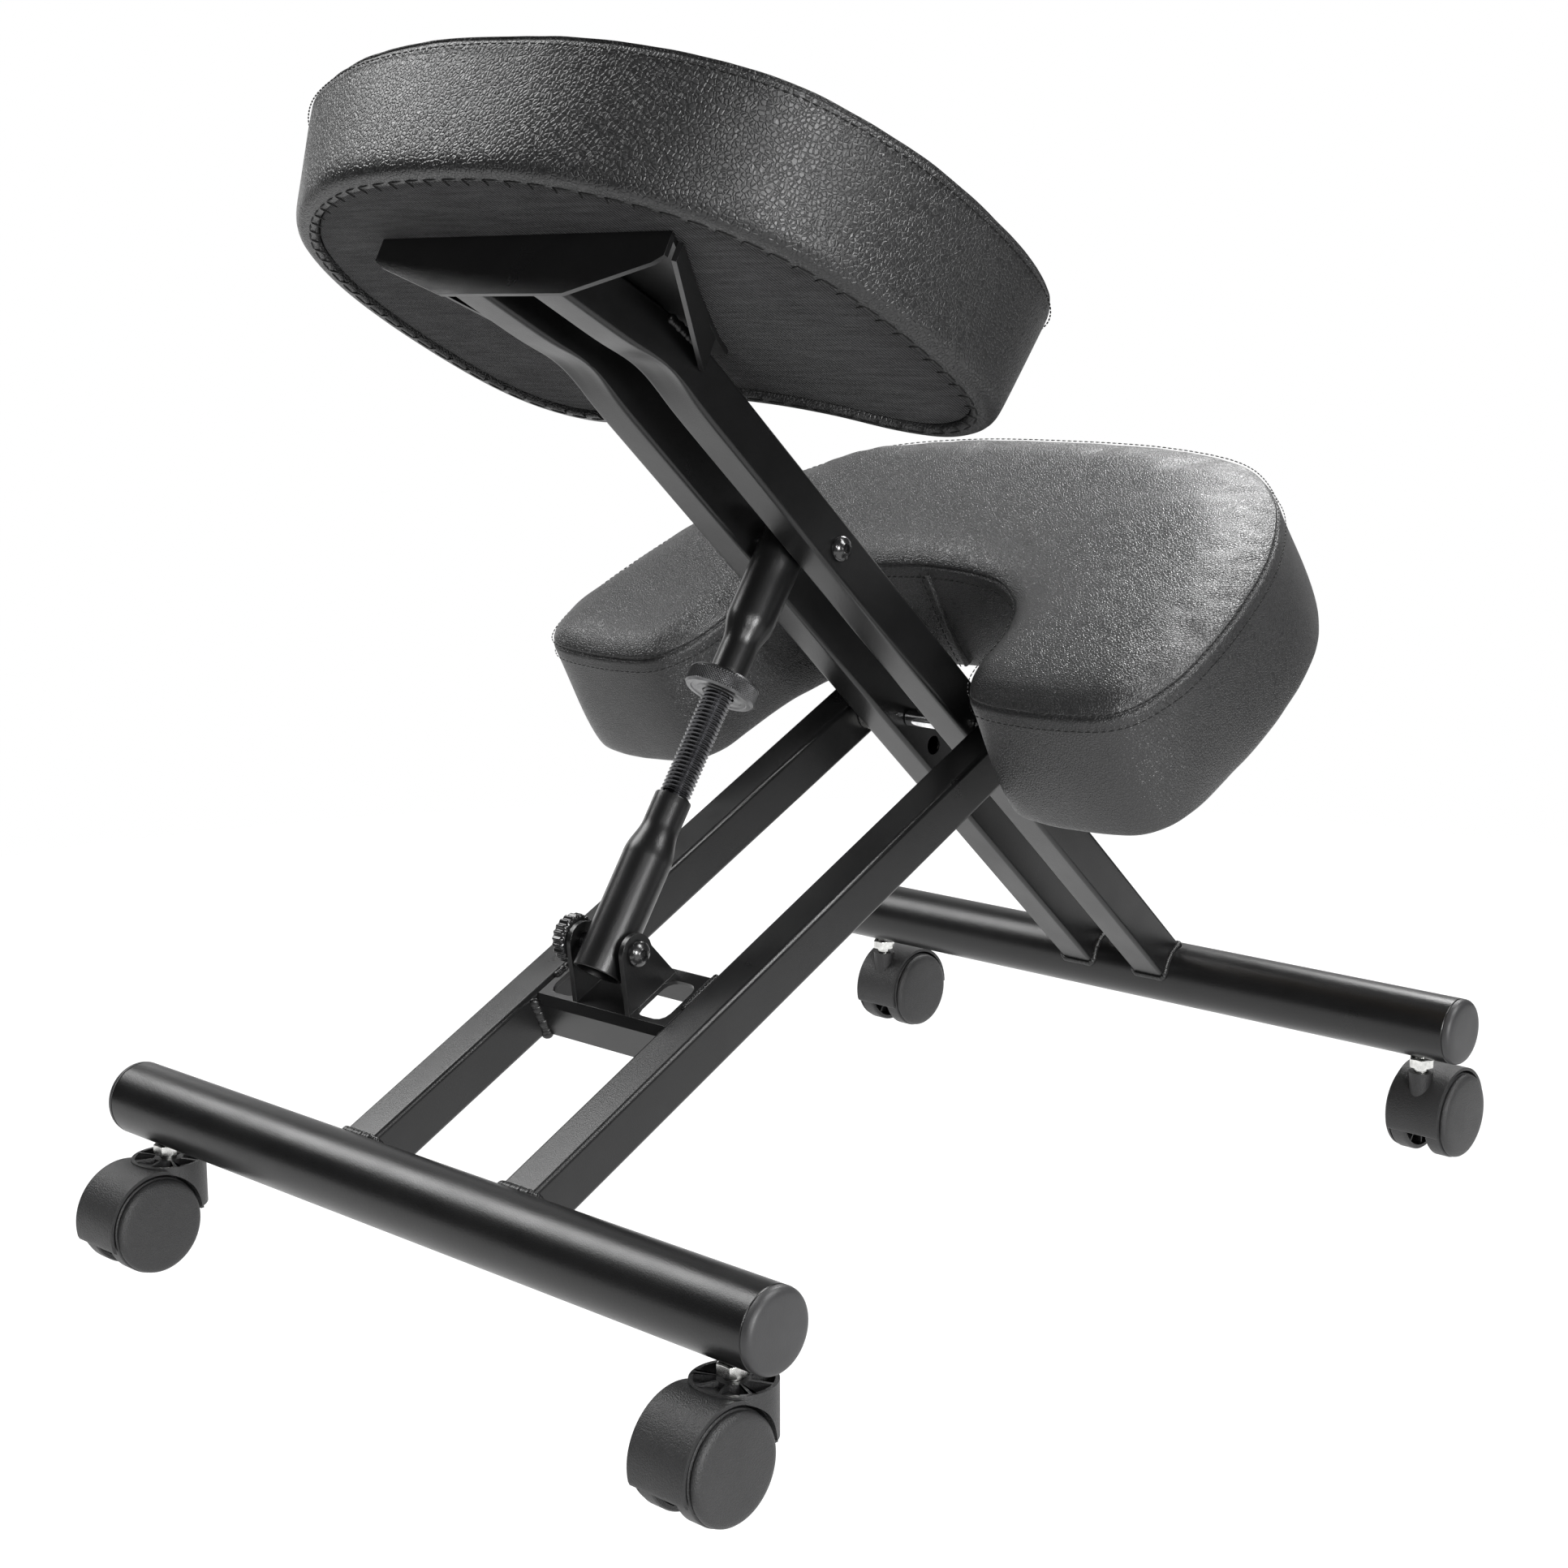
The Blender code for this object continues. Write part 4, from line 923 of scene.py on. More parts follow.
def seat_upholstery():
    """Seat cover, its board under black cloth, and its sewing."""
    seat = Cushion(SEAT_LOW, SEAT_TOP, SEAT_MIDDLE, SEAT_BASE_H, SEAT_SEAM_H, SEAT_CROWN_H - 0.001,
                   roll=0.032, hem=0.0028, belly=0.0)
    shell = seat.shell("seat_leather_cover", SEAT_LEATHER, SEAT_BASE_H + BOARD_T + GAP, 0.0030, 0.003, SEAT)
    soft_finish(shell, "seat_frame", "seat_cushion")
    board("seat_underside_cloth", seat, CLOTH, SEAT_BASE_H - 0.0001, SEAT_BASE_H + BOARD_T, "seat_frame",
          "seat_board", SEAT)
    row = seat.ring(SEAT_SEAM_H - 0.0040, 0.0009)
    sew("seat_seam_stitches", SEAT, row, seat.outs(), "seat_frame", Pitch=0.0046, Length=0.0034,
        Thickness=0.0008)
    hem = [(p.x, p.y, SEAT_BASE_H - 0.0030) for p in grown(seat.low, -0.0092)]
    sew("seat_hem_overcast", SEAT, hem, [(0, 0, -1)] * len(hem), "seat_frame", Pitch=0.0125, Length=0.0098,
        Thickness=0.0010, Tick=0.0065)
    lap_seam("seat_side_lap", seat, (0.118, 0.206), SEAT_LEATHER, SEAT, "seat_frame")


def knee_upholstery():
    """Horseshoe knee pad cover, its bare board and its sewing."""
    pad = Cushion(PAD_LOW, PAD_TOP, 0.0, PAD_BASE_H, PAD_SEAM_H, PAD_CROWN_H + 0.001,
                  roll=0.023, hem=0.0, belly=0.002)
    shell = pad.shell("knee_pad_leather_cover", PAD_LEATHER, PAD_BOARD_H + BOARD_T + GAP, 0.0024, 0.006, KNEE)
    soft_finish(shell, "knee_frame", "knee_cushion")
    board("knee_pad_board", pad, PLY, PAD_BOARD_H, PAD_BOARD_H + BOARD_T, "knee_frame",
          "knee_board", KNEE)
    sew("knee_pad_seam_stitches", KNEE, pad.ring(PAD_SEAM_H + 0.0016, -0.0004), pad.outs(0.35), "knee_frame",
        Pitch=0.0040, Length=0.0030, Thickness=0.0007)
    sew("knee_pad_lower_stitches", KNEE, pad.ring(PAD_SEAM_H - 0.0068, 0.0010), pad.outs(), "knee_frame",
        Pitch=0.0040, Length=0.0030, Thickness=0.0006)
    lap_seam("knee_pad_notch_lap", pad, (0.0, 0.455), PAD_LEATHER, KNEE, "knee_frame")


# ---- frame tubes ----
def base_tube(name, y, body, node):
    """Round tube across the chair, with its cut edges eased."""
    r, inner, edge = BASE_R, BASE_R - BASE_WALL, 0.0004
    bm = bmesh.new()
    profile = [(inner, -BASE_HALF), (r - edge, -BASE_HALF), (r, -BASE_HALF + edge)]
    profile += [(r, -BASE_HALF + 2 * BASE_HALF * k / 12) for k in range(1, 12)]
    profile += [(r, BASE_HALF - edge), (r - edge, BASE_HALF), (inner, BASE_HALF)]
    turned(bm, profile, 96, shift(0, y, AXIS_H) @ TO_RIGHT, loop=True)
    hard(name, bm, POWDER, body, node)


def end_cap(name, x, y, body, node):
    """Moulded cap with a rounded rim and a plug inside the tube."""
    plug, rim = BASE_R - BASE_WALL - GAP, 0.0036
    profile = [(0, CAP_T), (0.0120, CAP_T - 0.0001), (0.0148, CAP_T - 0.0004)]
    for a in (math.radians(d) for d in (10, 25, 40, 55, 70, 90)):
        profile.append((0.0154 + rim * math.sin(a), CAP_T - 0.0042 + rim * math.cos(a)))
    profile += [(0.0190, 0.0002), (0.0187, 0.0), (plug, 0.0), (plug, -0.012), (0, -0.012)]
    bm = bmesh.new()
    turned(bm, profile, 72, shift(x, y, AXIS_H) @ (TO_RIGHT if x > 0 else TO_LEFT))
    hard(name, bm, CAP, body, node, sharp=40)


def knee_tube(side, sign):
    """Straight square tube, outside then back along the inside."""
    outer, inner = square_tube(2)
    stops = (0.010, 0.20, 0.38, KNEE_TUBE_END)
    x = sign * KNEE_TUBE_X
    rings = [[(x + a, t, b) for a, b in section] for section, way in ((outer, 1), (inner, -1))
             for t in stops[::way]]
    bm = bmesh.new()
    skin(bm, rings, loop=True, place=KNEE)
    hard(f"knee_frame_tube_{side}", bm, POWDER, "knee_frame", f"knee_tube_{side}")


def seat_path():
    """Centre line of a bent seat tube, and the corner of its bend."""
    a = math.radians(SEAT_TILT)
    flat, up = Vector((0, math.cos(a), -math.sin(a))), Vector((0, math.sin(a), math.cos(a)))
    end = SEAT_REF + flat * 0.003 - up * (TUBE_D / 2 + GAP)
    gap = end - SEAT_START
    t = (gap.y * flat.z - gap.z * flat.y) / (SEAT_LINE.y * flat.z - SEAT_LINE.z * flat.y)
    corner = SEAT_START + SEAT_LINE * t
    reach = 0.022
    first, last = corner - SEAT_LINE * reach, corner - flat * reach
    path = [SEAT_START + SEAT_LINE * d for d in (0.012, 0.15, 0.30)]
    path += [first - SEAT_LINE * d for d in (0.030, 0.024, 0.018, 0.012, 0.006)]
    for k in range(13):
        s = k / 12
        path.append(first.lerp(corner, s).lerp(corner.lerp(last, s), s))
    path += [last - flat * d for d in (0.006, 0.012, 0.018, 0.024, 0.030)] + [end]
    return path, corner


def seat_tube(side, sign):
    """Bent square tube with its underside pressed in at the bend, and its spare hole."""
    path, corner = seat_path()
    outer, inner = square_tube(6)
    x = sign * SEAT_TUBE_X

    def rings(section):
        made = []
        for i, p in enumerate(path):
            run = (path[min(i + 1, len(path) - 1)] - path[max(i - 1, 0)]).normalized()
            up = Vector((0, run.z, -run.y))
            press = math.exp(-((p - corner).length / 0.019) ** 2)
            ring = []
            for a, b in section:
                under = max(0.0, min(1.0, (-b - TUBE_D / 2 + 0.006) / 0.006))
                hollow = 0.0036 * press * under * (1 - (2 * a / TUBE_W) ** 4 * 0.55)
                height = min(1, max(0, (b + TUBE_D / 2) / TUBE_D))
                side_push = 0.0006 * press * math.sin(math.pi * height)
                ring.append(Vector((x + a + math.copysign(side_push, a), 0, 0)) + p + up * (b + hollow))
            made.append(ring)
        return made

    bm = bmesh.new()
    skin(bm, rings(outer) + rings(inner)[::-1], loop=True)
    obj = mesh_object(f"seat_frame_tube_{side}", bm, POWDER)
    drill = bmesh.new()
    turned(drill, [(0, -0.03), (SPARE_R, -0.03), (SPARE_R, 0.03), (0, 0.03)], 40,
           shift(x, SPARE_HOLE.y, SPARE_HOLE.z) @ TO_RIGHT)
    carve(obj, mesh_object("drill", drill, POWDER))
    fit(flat_true(obj), "seat_frame", f"seat_tube_{side}")


def frame_tubes():
    """Both base tubes with their caps, and the two crossed pairs of square tubes."""
    base_tube("front_cross_tube", HALF_SPAN, "seat_frame", "front_base_tube")
    base_tube("rear_cross_tube", -HALF_SPAN, "knee_frame", "rear_base_tube")
    for side, sign in (("right", 1), ("left", -1)):
        for end, y, body in (("front", HALF_SPAN, "seat_frame"), ("rear", -HALF_SPAN, "knee_frame")):
            end_cap(f"{end}_tube_cap_{side}", sign * (BASE_HALF + GAP), y, body, f"{end}_cap_{side}")
        knee_tube(side, sign)
        seat_tube(side, sign)


def collar_path(x, line, start, base_y):
    """Where a square tube meets the round base tube, as points and outward directions."""
    section = rounded_box(TUBE_W + 0.001, TUBE_D + 0.001, 0.003, 4, 6)
    normal = Vector((0, -line.z, line.y)) * (1 if line.y > 0 else -1)
    points, outs = [], []
    axis = Vector((0, base_y, AXIS_H))
    for a, b in section:
        foot = start + normal * b
        off = foot - axis
        along = off.dot(line)
        across = (off - line * along).length
        reach = math.sqrt(max(0.0, (BASE_R + 0.0003) ** 2 - across ** 2))
        p = foot + line * (reach - along)
        p.x = x + a
        points.append(p)
        outs.append((Vector((a * 1.1, 0, 0)) + normal * b + (p - axis).normalized() * 0.008).normalized())
    return points, outs


def welds():
    """Collars round the tube feet, and runs beside the two brackets."""
    knee_turn, seat_turn = KNEE.to_3x3(), SEAT.to_3x3()
    for side, sign in (("right", 1), ("left", -1)):
        for end, x, line, start, y, body in (
                ("rear", KNEE_TUBE_X, KNEE_LINE, KNEE_START, -HALF_SPAN, "knee_frame"),
                ("front", SEAT_TUBE_X, SEAT_LINE, SEAT_START, HALF_SPAN, "seat_frame")):
            points, outs = collar_path(sign * x, line, start, y)
            weld(f"{end}_tube_weld_{side}", points, outs, body, width=0.0044, height=0.0030, closed=True)
        face = sign * (KNEE_TUBE_X - TUBE_W / 2)
        upright = [KNEE @ Vector((face - sign * 0.0004, 0.1300, h / 1000)) for h in range(-12, 9, 2)]
        weld(f"jack_bracket_end_weld_{side}", upright, knee_turn @ Vector((-sign, -1, 0)), "knee_frame",
             width=0.0060, height=0.0040)
        top = [KNEE @ Vector((face - sign * 0.0006, t / 1000, 0.0112)) for t in range(150, 177, 3)]
        weld(f"jack_bracket_top_weld_{side}", top, knee_turn @ Vector((-sign * 0.6, 0, 1)), "knee_frame",
             width=0.0042, height=0.0028)
        edge = sign * (SEAT_TUBE_X + TUBE_W / 2 + 0.0004)
        run = [SEAT @ Vector((edge, t / 1000, -0.0035 - (t - 69) * 0.00012)) for t in range(69, 98, 3)]
        weld(f"seat_bracket_weld_{side}", run, seat_turn @ Vector((sign, 0, -0.5)), "seat_frame",
             width=0.0052, height=0.0036)


# ---- fasteners ----
def button_bolt(name, spot, reach, overrun, body, node):
    """Bolt along X through a spot: domed head with a hex socket at +reach, shank past -reach."""
    segs, rim = 48, BOLT_HEAD_T * 0.93
    socket = hexed(BOLT_SOCKET, segs)
    dome_line = [(BOLT_HEAD_R * math.sin(a), BOLT_HEAD_T * (0.16 + 0.84 * math.cos(a)))
                 for a in (math.radians(d) for d in (90, 78, 66, 54, 42, 32))]
    end = -2 * reach - overrun
    rings = round_rings(segs, (0, end), (BOLT_R, end), (BOLT_R, 0), (BOLT_HEAD_R * 0.97, 0), *dome_line,
                        (BOLT_SOCKET * 1.30, rim), (socket, rim - 0.0002), (socket, BOLT_HEAD_T - 0.0024),
                        (0, BOLT_HEAD_T - 0.0028))
    bm = bmesh.new()
    skin(bm, rings, caps=False, place=at(spot) @ shift(reach, 0, 0) @ TO_RIGHT)
    hard(name, bm, OXIDE, body, node, sharp=40)


def lock_nut(name, spot, reach, body, node):
    """Hexagon with chamfered corners and a nylon collar, its bearing face at -reach along X."""
    segs, a, thick = 48, LOCK_NUT_FLATS / 2, LOCK_NUT_T
    rings = round_rings(segs, (LOCK_NUT_BORE_R, 0), (a * 0.96, 0), (hexed(a, segs, 0.75), 0.0004),
                        (hexed(a, segs), 0.0010), (hexed(a, segs), thick * 0.66),
                        (hexed(a, segs, 0.6), thick * 0.76), (a * 0.86, thick * 0.80),
                        (a * 0.82, thick * 0.95), (a * 0.72, thick), (LOCK_NUT_BORE_R, thick))
    bm = bmesh.new()
    skin(bm, rings, loop=True, place=at(spot) @ shift(-reach, 0, 0) @ TO_LEFT)
    hard(name, bm, OXIDE, body, node, sharp=40)


def ring_part(name, finish, body, node, profile, place, segs=64):
    """Turned piece with a hole through it."""
    bm = bmesh.new()
    turned(bm, profile, segs, place, loop=True)
    hard(name, bm, finish, body, node)


def washer_profile(outer, low, high, edge=0.0003):
    """Section of a flat ring that a bolt passes through."""
    return [(BOLT_BORE_R, low), (outer - edge, low), (outer, low + edge), (outer, high - edge),
            (outer - edge, high), (BOLT_BORE_R, high)]


def fasteners():
    """Pivot and jack bolts with their nuts, washers and sleeve."""
    knee_reach = KNEE_TUBE_X + TUBE_W / 2 + GAP
    button_bolt("pivot_button_bolt", PIVOT, knee_reach, 0.0069, "knee_frame", "pivot_bolt")
    lock_nut("pivot_lock_nut", PIVOT, knee_reach, "knee_frame", "pivot_nut")
    inner = SEAT_TUBE_X - TUBE_W / 2 - GAP
    ring_part("pivot_spacer_sleeve", CHROME, "knee_frame", "pivot_sleeve",
              washer_profile(0.0051, -inner, inner), at(PIVOT) @ TO_RIGHT)
    seat_reach, high = SEAT_TUBE_X + TUBE_W / 2 + GAP, KNEE_TUBE_X - TUBE_W / 2 - GAP
    for side, place in (("right", TO_RIGHT), ("left", TO_LEFT)):
        ring_part(f"pivot_flat_washer_{side}", ZINC, "knee_frame", f"pivot_washer_{side}",
                  washer_profile(0.010, seat_reach, high), at(PIVOT) @ place)
    button_bolt("jack_top_button_bolt", JACK_TOP, seat_reach, 0.0075, "seat_frame",
                "jack_top_bolt")
    lock_nut("jack_top_lock_nut", JACK_TOP, seat_reach, "seat_frame", "jack_top_nut")
    button_bolt("jack_low_button_bolt", JACK_LOW, EAR_REACH, 0.0055, "knee_frame",
                "jack_low_bolt")


def pan_screw():
    """Pan head with a cross recess on the outer side and a short shank below."""
    segs = 24
    recess = {0: 0.0021, 1: 0.0011, 5: 0.0011}
    cross = [recess.get(k % 6, 0.0007) for k in range(segs)]
    rings = round_rings(segs, (0, -0.0085), (0.0024, -0.0075), (0.0026, 0), (0.0050, 0), (0.0052, 0.0006),
                        (0.0049, 0.0018), (0.0038, 0.0029), (0.0026, 0.0032), (cross, 0.0031),
                        ([c * 0.8 for c in cross], 0.0014), (0, 0.0011))
    bm = bmesh.new()
    skin(bm, rings, caps=False)
    return mesh_object("pan_screw_pattern", bm, ZINC, sharp=40)


def screws():
    """Cushion screws, set out by one plan on each frame."""
    pattern = pan_screw()
    sets = (("seat_fixing_screws", "seat_frame", SEAT, "seat_screw",
             [(0.070, 0.014, -GAP), (-0.070, 0.014, -GAP), (0.0, 0.030, -GAP), (0.0, 0.088, -GAP)]),
            ("knee_pad_fixing_screws", "knee_frame", KNEE, "knee_screw",
             [(s * KNEE_TUBE_X, t, -TUBE_D / 2 - GAP) for s in (1, -1) for t in (0.478, 0.532)]))
    for name, body, place, node, spots in sets:
        down, along = (place.to_3x3() @ Vector(way) for way in ((0, 0, -1), (1, 0, 0)))
        source = line_mesh(name, [place @ Vector(p) for p in spots], [down] * 4, False, [along] * 4)
        made = repeat(name, SPREAD, ZINC, body, "zinc_hardware", source, sharp=40, Part=pattern, Size=1.0)
        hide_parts(*[f"{node}_{n}" for n in range(1, 5)])
    bpy.data.objects.remove(pattern)


# ---- screw jack ----
def jack_tube(name, low, high, neck_low, neck_high, body, node):
    """Tube drawn down to a smooth neck at one end, with a rolled lip."""
    up = neck_high > (low + high) / 2
    big, tip = (low, high) if up else (high, low)
    start, stop = (neck_low, neck_high) if up else (neck_high, neck_low)
    way = 1 if tip > big else -1
    outer = [(JACK_R - 0.0004, big), (JACK_R, big + way * 0.0004)]
    outer += [(JACK_R, big + (start - big) * k / 4) for k in range(1, 4)]
    for k in range(15):
        s = k / 14
        ease = s * s * (3 - 2 * s)
        shoulder = 0.00025 * math.sin(math.pi * s * 2)
        outer.append((JACK_R + (NECK_R - JACK_R) * ease + shoulder, start + (stop - start) * s))
    outer += [(NECK_R, tip - way * 0.0040), (NECK_R, tip - way * 0.0007), (NECK_R - 0.0003, tip)]
    bore, wide_bore = ROD_R + 2 * GAP, JACK_R - 0.0018
    inner = [(bore, tip), (bore, stop), (wide_bore, start), (wide_bore, big)]
    bm = bmesh.new()
    turned(bm, outer + inner, 72, JACK, loop=True)
    hard(name, bm, POWDER, body, node, sharp=50)


def jack():
    """Two tubes, the threaded rod and the knurled nut."""
    low, high = NUT_SPAN
    jack_tube("jack_low_tube", -0.0145, 0.082, 0.046, 0.068, "jack_lower", "jack_lower_tube")
    jack_tube("jack_high_tube", high + GAP, JACK_LEN + 0.0145, 0.166, 0.186, "jack_upper", "jack_upper_tube")
    start, stop = 0.050, 0.184
    turns = math.floor((stop - start) / THREAD_PITCH) - 1
    rod = repeat("jack_threaded_rod", SCREW_THREAD, ROD_STEEL, "jack_lower", "threaded_rod_steel", None,
                 JACK @ shift(0, 0, start), 50, Radius=ROD_R, Depth=THREAD_DEPTH, Pitch=THREAD_PITCH,
                 Turns=float(turns), Segments=36)
    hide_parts("jack_rod")
    rim, edge, bore = NUT_R - 0.0005, 0.0012, ROD_R + GAP
    half = [(bore, 0.0006), (bore + 0.0006, 0), (0.0118, 0), (0.0124, 0.0004), (0.0148, 0.0004), (0.0154, 0),
            (NUT_R - edge, 0), (NUT_R - 0.0001, edge), (rim, edge + 0.0002)]
    profile = [(r, low + z) for r, z in half] + [(r, high - z) for r, z in half[::-1]]
    ring_part("jack_height_nut", NUT_STEEL, "jack_nut_body", "jack_nut", profile,
              JACK, 96)
    repeat("jack_nut_knurl", KNURL, NUT_STEEL, "jack_nut_body", "knurled_nut_steel", None,
           JACK @ shift(0, 0, (low + high) / 2), Radius=rim, Count=78, Rows=10,
           Band=high - low - 2 * edge - 0.0014, Depth=0.0005)


def hand_knob():
    """Clamp knob with a fluted rim, a recessed face and a bored boss."""
    segs, lobes = 176, 22

    def fluted(radius, wave):
        return [radius + wave * math.cos(lobes * 2 * math.pi * k / segs) for k in range(segs)]

    rings = round_rings(segs, (BOLT_BORE_R, 0.0), (0.0080, 0.0), (0.0086, 0.0006),
                        (fluted(0.0104, 0.0001), 0.0007), (fluted(0.0117, 0.0004), 0.0014),
                        (fluted(0.0121, 0.0006), 0.0024), (fluted(0.0121, 0.0006), 0.0068),
                        (fluted(0.0116, 0.0004), 0.0079), (fluted(0.0104, 0.0001), 0.0085),
                        (0.0090, 0.0086), (0.0084, 0.0078), (0.0050, 0.0076), (0.0044, 0.0086), (0, 0.0088))
    bm = bmesh.new()
    made = skin(bm, rings, caps=False, place=at(JACK_LOW) @ shift(-EAR_REACH, 0, 0) @ TO_LEFT)
    deep = [bm.verts.new(v.co + Vector((-0.0056, 0, 0))) for v in made[0]]
    knit(bm, deep, made[0])
    bm.faces.new(deep)
    hard("jack_hand_knob", bm, KNOB, "clamp_knob", "hand_knob", sharp=50)


def brackets():
    """Pressed seat bracket and folded jack bracket."""
    refined("seat_bracket", "seat_mount_bracket", "seat_frame", 0.0009)
    refined("jack_bracket", "jack_mount_bracket", "knee_frame", 0.0008)


# ---- casters ----
def prism(name, outline, low, high, place):
    """Closed outline drawn from one height to another."""
    bm = bmesh.new()
    skin(bm, [[(a, b, z) for a, b in outline] for z in (low, high)], place=place)
    return mesh_object(name, bm, NYLON)


def round_bar(name, low_r, high_r, low, high, segs, place, start=0.0):
    """Straight or tapered round bar."""
    bm = bmesh.new()
    turned(bm, [(0, low), (low_r, low), (high_r, high), (0, high)], segs, place, start=start)
    return mesh_object(name, bm, NYLON)


def hood_pattern(cup):
    """Twin-wheel housing about its axle, with a ribbed stem cup ahead of it or a plain cone behind."""
    rise = 0.002 if cup else 0.0006
    stem = shift(0, TRAIL if cup else -TRAIL, 0)
    outline = arc(0, 0, HOOD_R, math.degrees(math.asin(rise / HOOD_R)), 193, 44)
    outline += [(-0.0264, -0.0080), (-0.0248, -0.0088), (-0.010, -0.0085), (0.008, -0.0085), (0.012, rise)]
    body = prism("caster_hood", outline, -HOOD_HALF, HOOD_HALF, ALONG_X)
    if cup:
        wall = round_bar("cup", 0.019, 0.019, 0.0035, 0.0285, 72, stem)
        for mid in range(0, 360, 45):
            pocket = arc(0, 0, 0.0171, mid - 20, mid + 20, 6) + arc(0, 0, 0.0074, mid + 16, mid - 16, 3)
            carve(wall, prism("pocket", pocket, 0.0095, 0.04, stem))
    else:
        wall = round_bar("cone", 0.0052, 0.007, 0.004, 0.0275, 64, stem)
    carve(body, wall, "UNION")
    for low, high in ((0.0058, 0.03), (-0.03, -0.0058)):
        carve(body, round_bar("well", 0.0262, 0.0262, low, high, 96, TO_RIGHT, start=0.03))
    carve(body, round_bar("bore", BOLT_BORE_R, BOLT_BORE_R, 0.0075, 0.05, 32, stem, start=0.1))
    carve(body, round_bar("axle_bore", AXLE_BORE_R, AXLE_BORE_R, -0.01, 0.01, 32, TO_RIGHT))
    return body


def wheel_part(name, place, body, node):
    """Disc wheel: domed face with a parting groove, tread, and a dished ribbed back."""
    face, back = 0.0205, 0.0065
    front = [(0, 0), (0.006, 0.00001), (0.012, 0.0001), (0.0172, 0.0002), (0.0205, 0.0004), (0.0222, 0.0008),
             (0.0234, 0.0015), (0.0241, 0.0024), (0.0244, 0.0034), (0.0243, 0.0038), (0.0236, 0.0040),
             (0.0236, 0.0047), (0.0243, 0.0049), (0.0248, 0.0052), (WHEEL_R, 0.0058)]
    dish = [(WHEEL_R, 0.0008), (WHEEL_R - 0.0006, 0), (0.0225, 0), (0.0221, 0.0005), (0.0216, 0.0060),
            (0.0075, 0.0062), (0.0070, 0.0004), (0.0066, 0), (AXLE_BORE_R, 0)]
    profile = [(r, face - z) for r, z in front] + [(r, back + z) for r, z in dish]
    profile += [(AXLE_BORE_R, 0.0150), (0, 0.0150)]
    bm = bmesh.new()
    turned(bm, profile, 84, place)
    rib = [(0.0068, 0.0010), (0.0219, 0.0010), (0.0219, 0.0066), (0.0068, 0.0066)]
    for angle in range(0, 360, 36):
        skin(bm, [[(r, y, back + z) for r, z in rib] for y in (-0.0006, 0.0006)],
             place=place @ turn("Z", angle))
    hard(name, bm, NYLON, body, node, sharp=38)


def stem_part(tag, x, y, body):
    """Threaded stud, washer and hexagon collar under the base tube."""
    segs, top = 48, -BASE_R - GAP
    full, soft_top, soft_foot = (hexed(STEM_HEX, segs, share) for share in (1.0, 0.7, 0.6))
    rings = round_rings(segs, (0, 0.004), (STEM_R, 0.004), (STEM_R, top), (0.0062, top),
                        (soft_top, top - 0.0005), (full, top - 0.0010), (full, -0.0244),
                        (soft_foot, -0.0250), (0.0058, -0.0252), (STEM_R, -0.0253), (STEM_R, -0.0455),
                        (0.0034, -0.046), (0, -0.046))
    bm = bmesh.new()
    skin(bm, rings, caps=False, place=shift(x, y, AXIS_H))
    hard(f"{tag}_hex_stem", bm, ZINC, body, f"{tag}_stem", sharp=40)


def casters():
    """Rear casters show their stem cups; the front ones trail forward on plain cones."""
    patterns = {"rear": hood_pattern(True), "front": hood_pattern(False)}
    edge = AXLE_HALF - 0.0003
    pin = [(0, AXLE_HALF), (0.0027, AXLE_HALF), (AXLE_R, edge), (AXLE_R, -edge), (0.0027, -AXLE_HALF),
           (0, -AXLE_HALF)]
    for end, forward, parent in (("rear", -1, "knee_frame"), ("front", 1, "seat_frame")):
        y = forward * HALF_SPAN
        for side, sign in (("right", 1), ("left", -1)):
            tag = f"{end}_{side}"
            x = sign * STEM_X
            hub = shift(x, y + forward * TRAIL, WHEEL_R)
            hood = bpy.data.objects.new(f"{tag}_twin_hood", patterns[end].data.copy())
            bpy.context.scene.collection.objects.link(hood)
            hood.data.transform(hub)
            hood.data.shade_smooth()
            hood.data.set_sharp_from_angle(angle=math.radians(32))
            eased(hood, 0.0005)
            fit(flat_true(hood), f"{tag}_caster", f"{tag}_hood")
            bm = bmesh.new()
            turned(bm, pin, 32, hub @ TO_RIGHT)
            hard(f"{tag}_axle_pin", bm, ZINC, f"{tag}_caster", f"{tag}_axle")
            for half, place in (("right", TO_RIGHT), ("left", TO_LEFT)):
                wheel_part(f"{tag}_disc_{half}", hub @ place, f"{tag}_{half}_roller", f"{tag}_wheel_{half}")
            stem_part(tag, x, y, parent)
    for pattern in patterns.values():
        bpy.data.objects.remove(pattern)


# ---- studio ----
def area_light(name, spot, size, power, height=None, target=(0, 0, 0.3)):
    """Softbox aimed at the chair and hidden from the camera."""
    data = bpy.data.lights.new(name, "AREA")
    data.energy, data.size = power, size
    if height:
        data.shape, data.size_y = "RECTANGLE", height
    lamp = bpy.data.objects.new(name, data)
    lamp.location = spot
    lamp.visible_camera = False
    lamp.rotation_euler = (Vector(target) - Vector(spot)).to_track_quat("-Z", "Y").to_euler()
    bpy.context.scene.collection.objects.link(lamp)


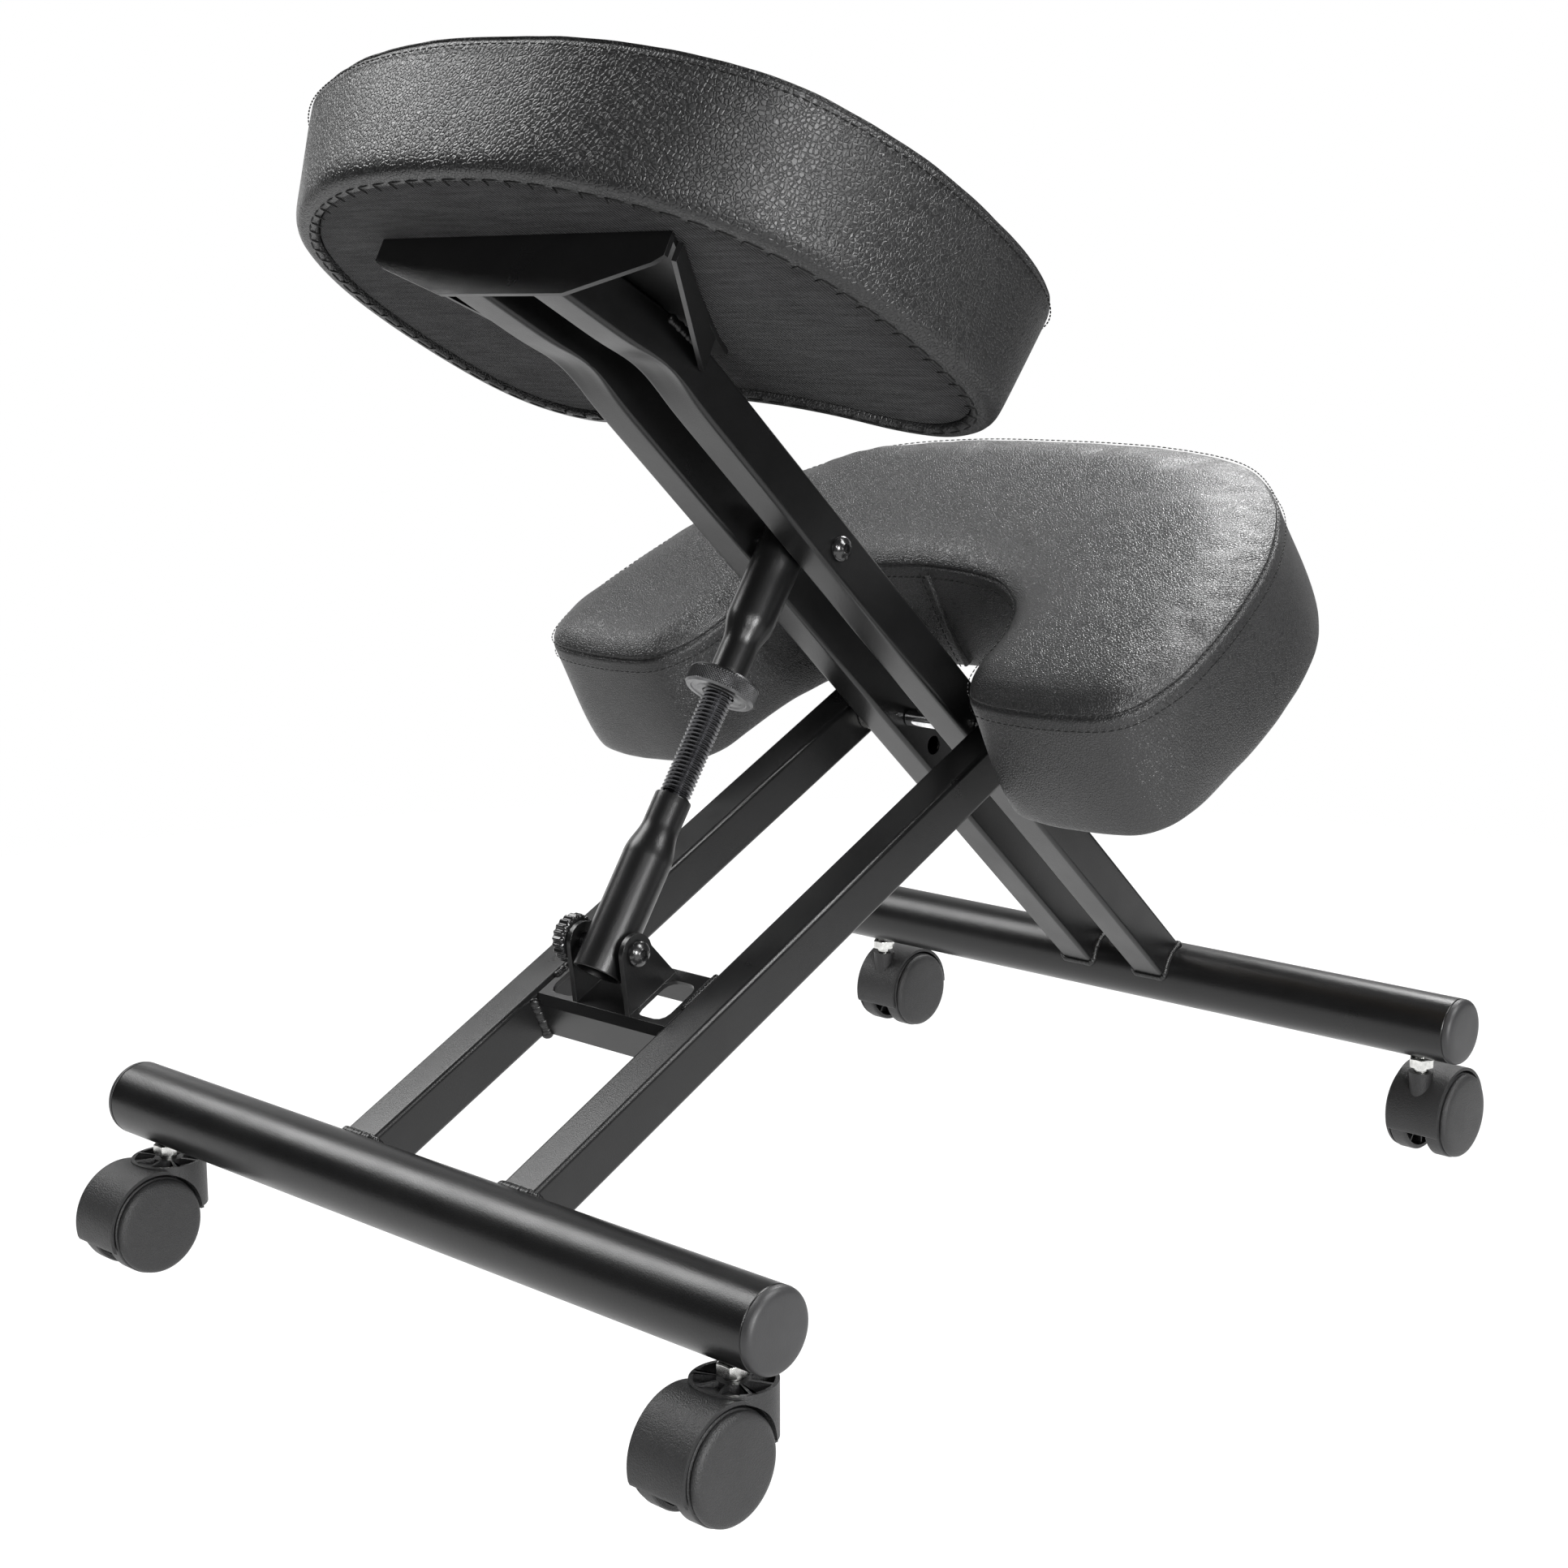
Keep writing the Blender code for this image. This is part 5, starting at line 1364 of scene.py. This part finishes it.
def studio():
    """Small bright floor, dim room with one pale wall behind, and the softboxes."""
    bm = bmesh.new()
    turned(bm, [(0, 0), (0.4, 0), (0.8, 0), (1.15, 0)], 96)
    white = Finish("studio_floor", (0.30, 0.30, 0.30), Specular_IOR_Level=0.0)
    white.roughness(0.85, 0.95, 3.0)
    white.shader.inputs["Emission Color"].default_value = (1, 1, 1, 1)
    white.shader.inputs["Emission Strength"].default_value = 0.82
    mesh_object("studio_floor", bm, white.material)
    world = bpy.data.worlds.new("studio")
    bpy.context.scene.world = world
    world.use_nodes = True
    tree = world.node_tree
    tree.nodes.clear()
    look = put(tree, "ShaderNodeTexCoord").outputs["Generated"]
    side = put(tree, "ShaderNodeVectorMath", {"operation": "DOT_PRODUCT"}, _0=look, _1=(-0.68, 0.73, 0.0))
    wall = put(tree, "ShaderNodeMapRange", {"interpolation_type": "SMOOTHSTEP"}, Value=side.outputs["Value"],
               From_Min=0.62, From_Max=0.92, To_Min=0.06, To_Max=0.55)
    ray = put(tree, "ShaderNodeLightPath").outputs["Is Camera Ray"]
    glow = put(tree, "ShaderNodeBackground", Color=(1, 1, 1, 1),
               Strength=math_node(tree, "MAXIMUM", ray, wall.outputs["Result"]))
    end = tree.nodes.new("ShaderNodeOutputWorld")
    tree.links.new(glow.outputs[0], end.inputs["Surface"])
    area_light("overhead_left_softbox", (-1.55, -0.50, 1.95), 1.1, 44, 1.4)
    area_light("back_softbox", (-0.45, 1.55, 1.75), 0.8, 32)
    area_light("front_right_softbox", (1.45, -1.65, 1.05), 0.45, 12)
    area_light("right_softbox", (2.00, -0.85, 0.62), 0.5, 38, target=(0, 0, 0.5))
    area_light("overhead_right_strip", (1.12, 0.42, 1.75), 0.5, 34, 1.3)
    area_light("low_left_softbox", (-1.9, 0.4, 0.35), 0.8, 2)


def camera():
    """Viewpoint behind the chair on its right, from its heading, height angle and slight roll."""
    heading, fall, roll = (math.radians(d) for d in (42.63, 10.807, -0.104))
    right = Vector((math.cos(heading), math.sin(heading), 0))
    back = Vector((math.sin(heading) * math.cos(fall), -math.cos(heading) * math.cos(fall), math.sin(fall)))
    up = back.cross(right)
    across = right * math.cos(roll) + up * math.sin(roll)
    upright = up * math.cos(roll) - right * math.sin(roll)
    level = Matrix((across, upright, back)).transposed()
    data = bpy.data.cameras.new("camera")
    data.lens, data.sensor_width, data.clip_start = 57.66, 36.0, 0.02
    view = bpy.data.objects.new("camera", data)
    view.matrix_world = Matrix.Translation((0.8759, -0.9864, 0.4876)) @ level.to_4x4()
    bpy.context.scene.collection.objects.link(view)
    bpy.context.scene.camera = view
    bpy.context.scene.view_settings.view_transform = "Standard"


# ---- assembly ----
frame_tubes()
brackets()
welds()
fasteners()
screws()
jack()
hand_knob()
casters()
seat_upholstery()
knee_upholstery()
studio()
camera()
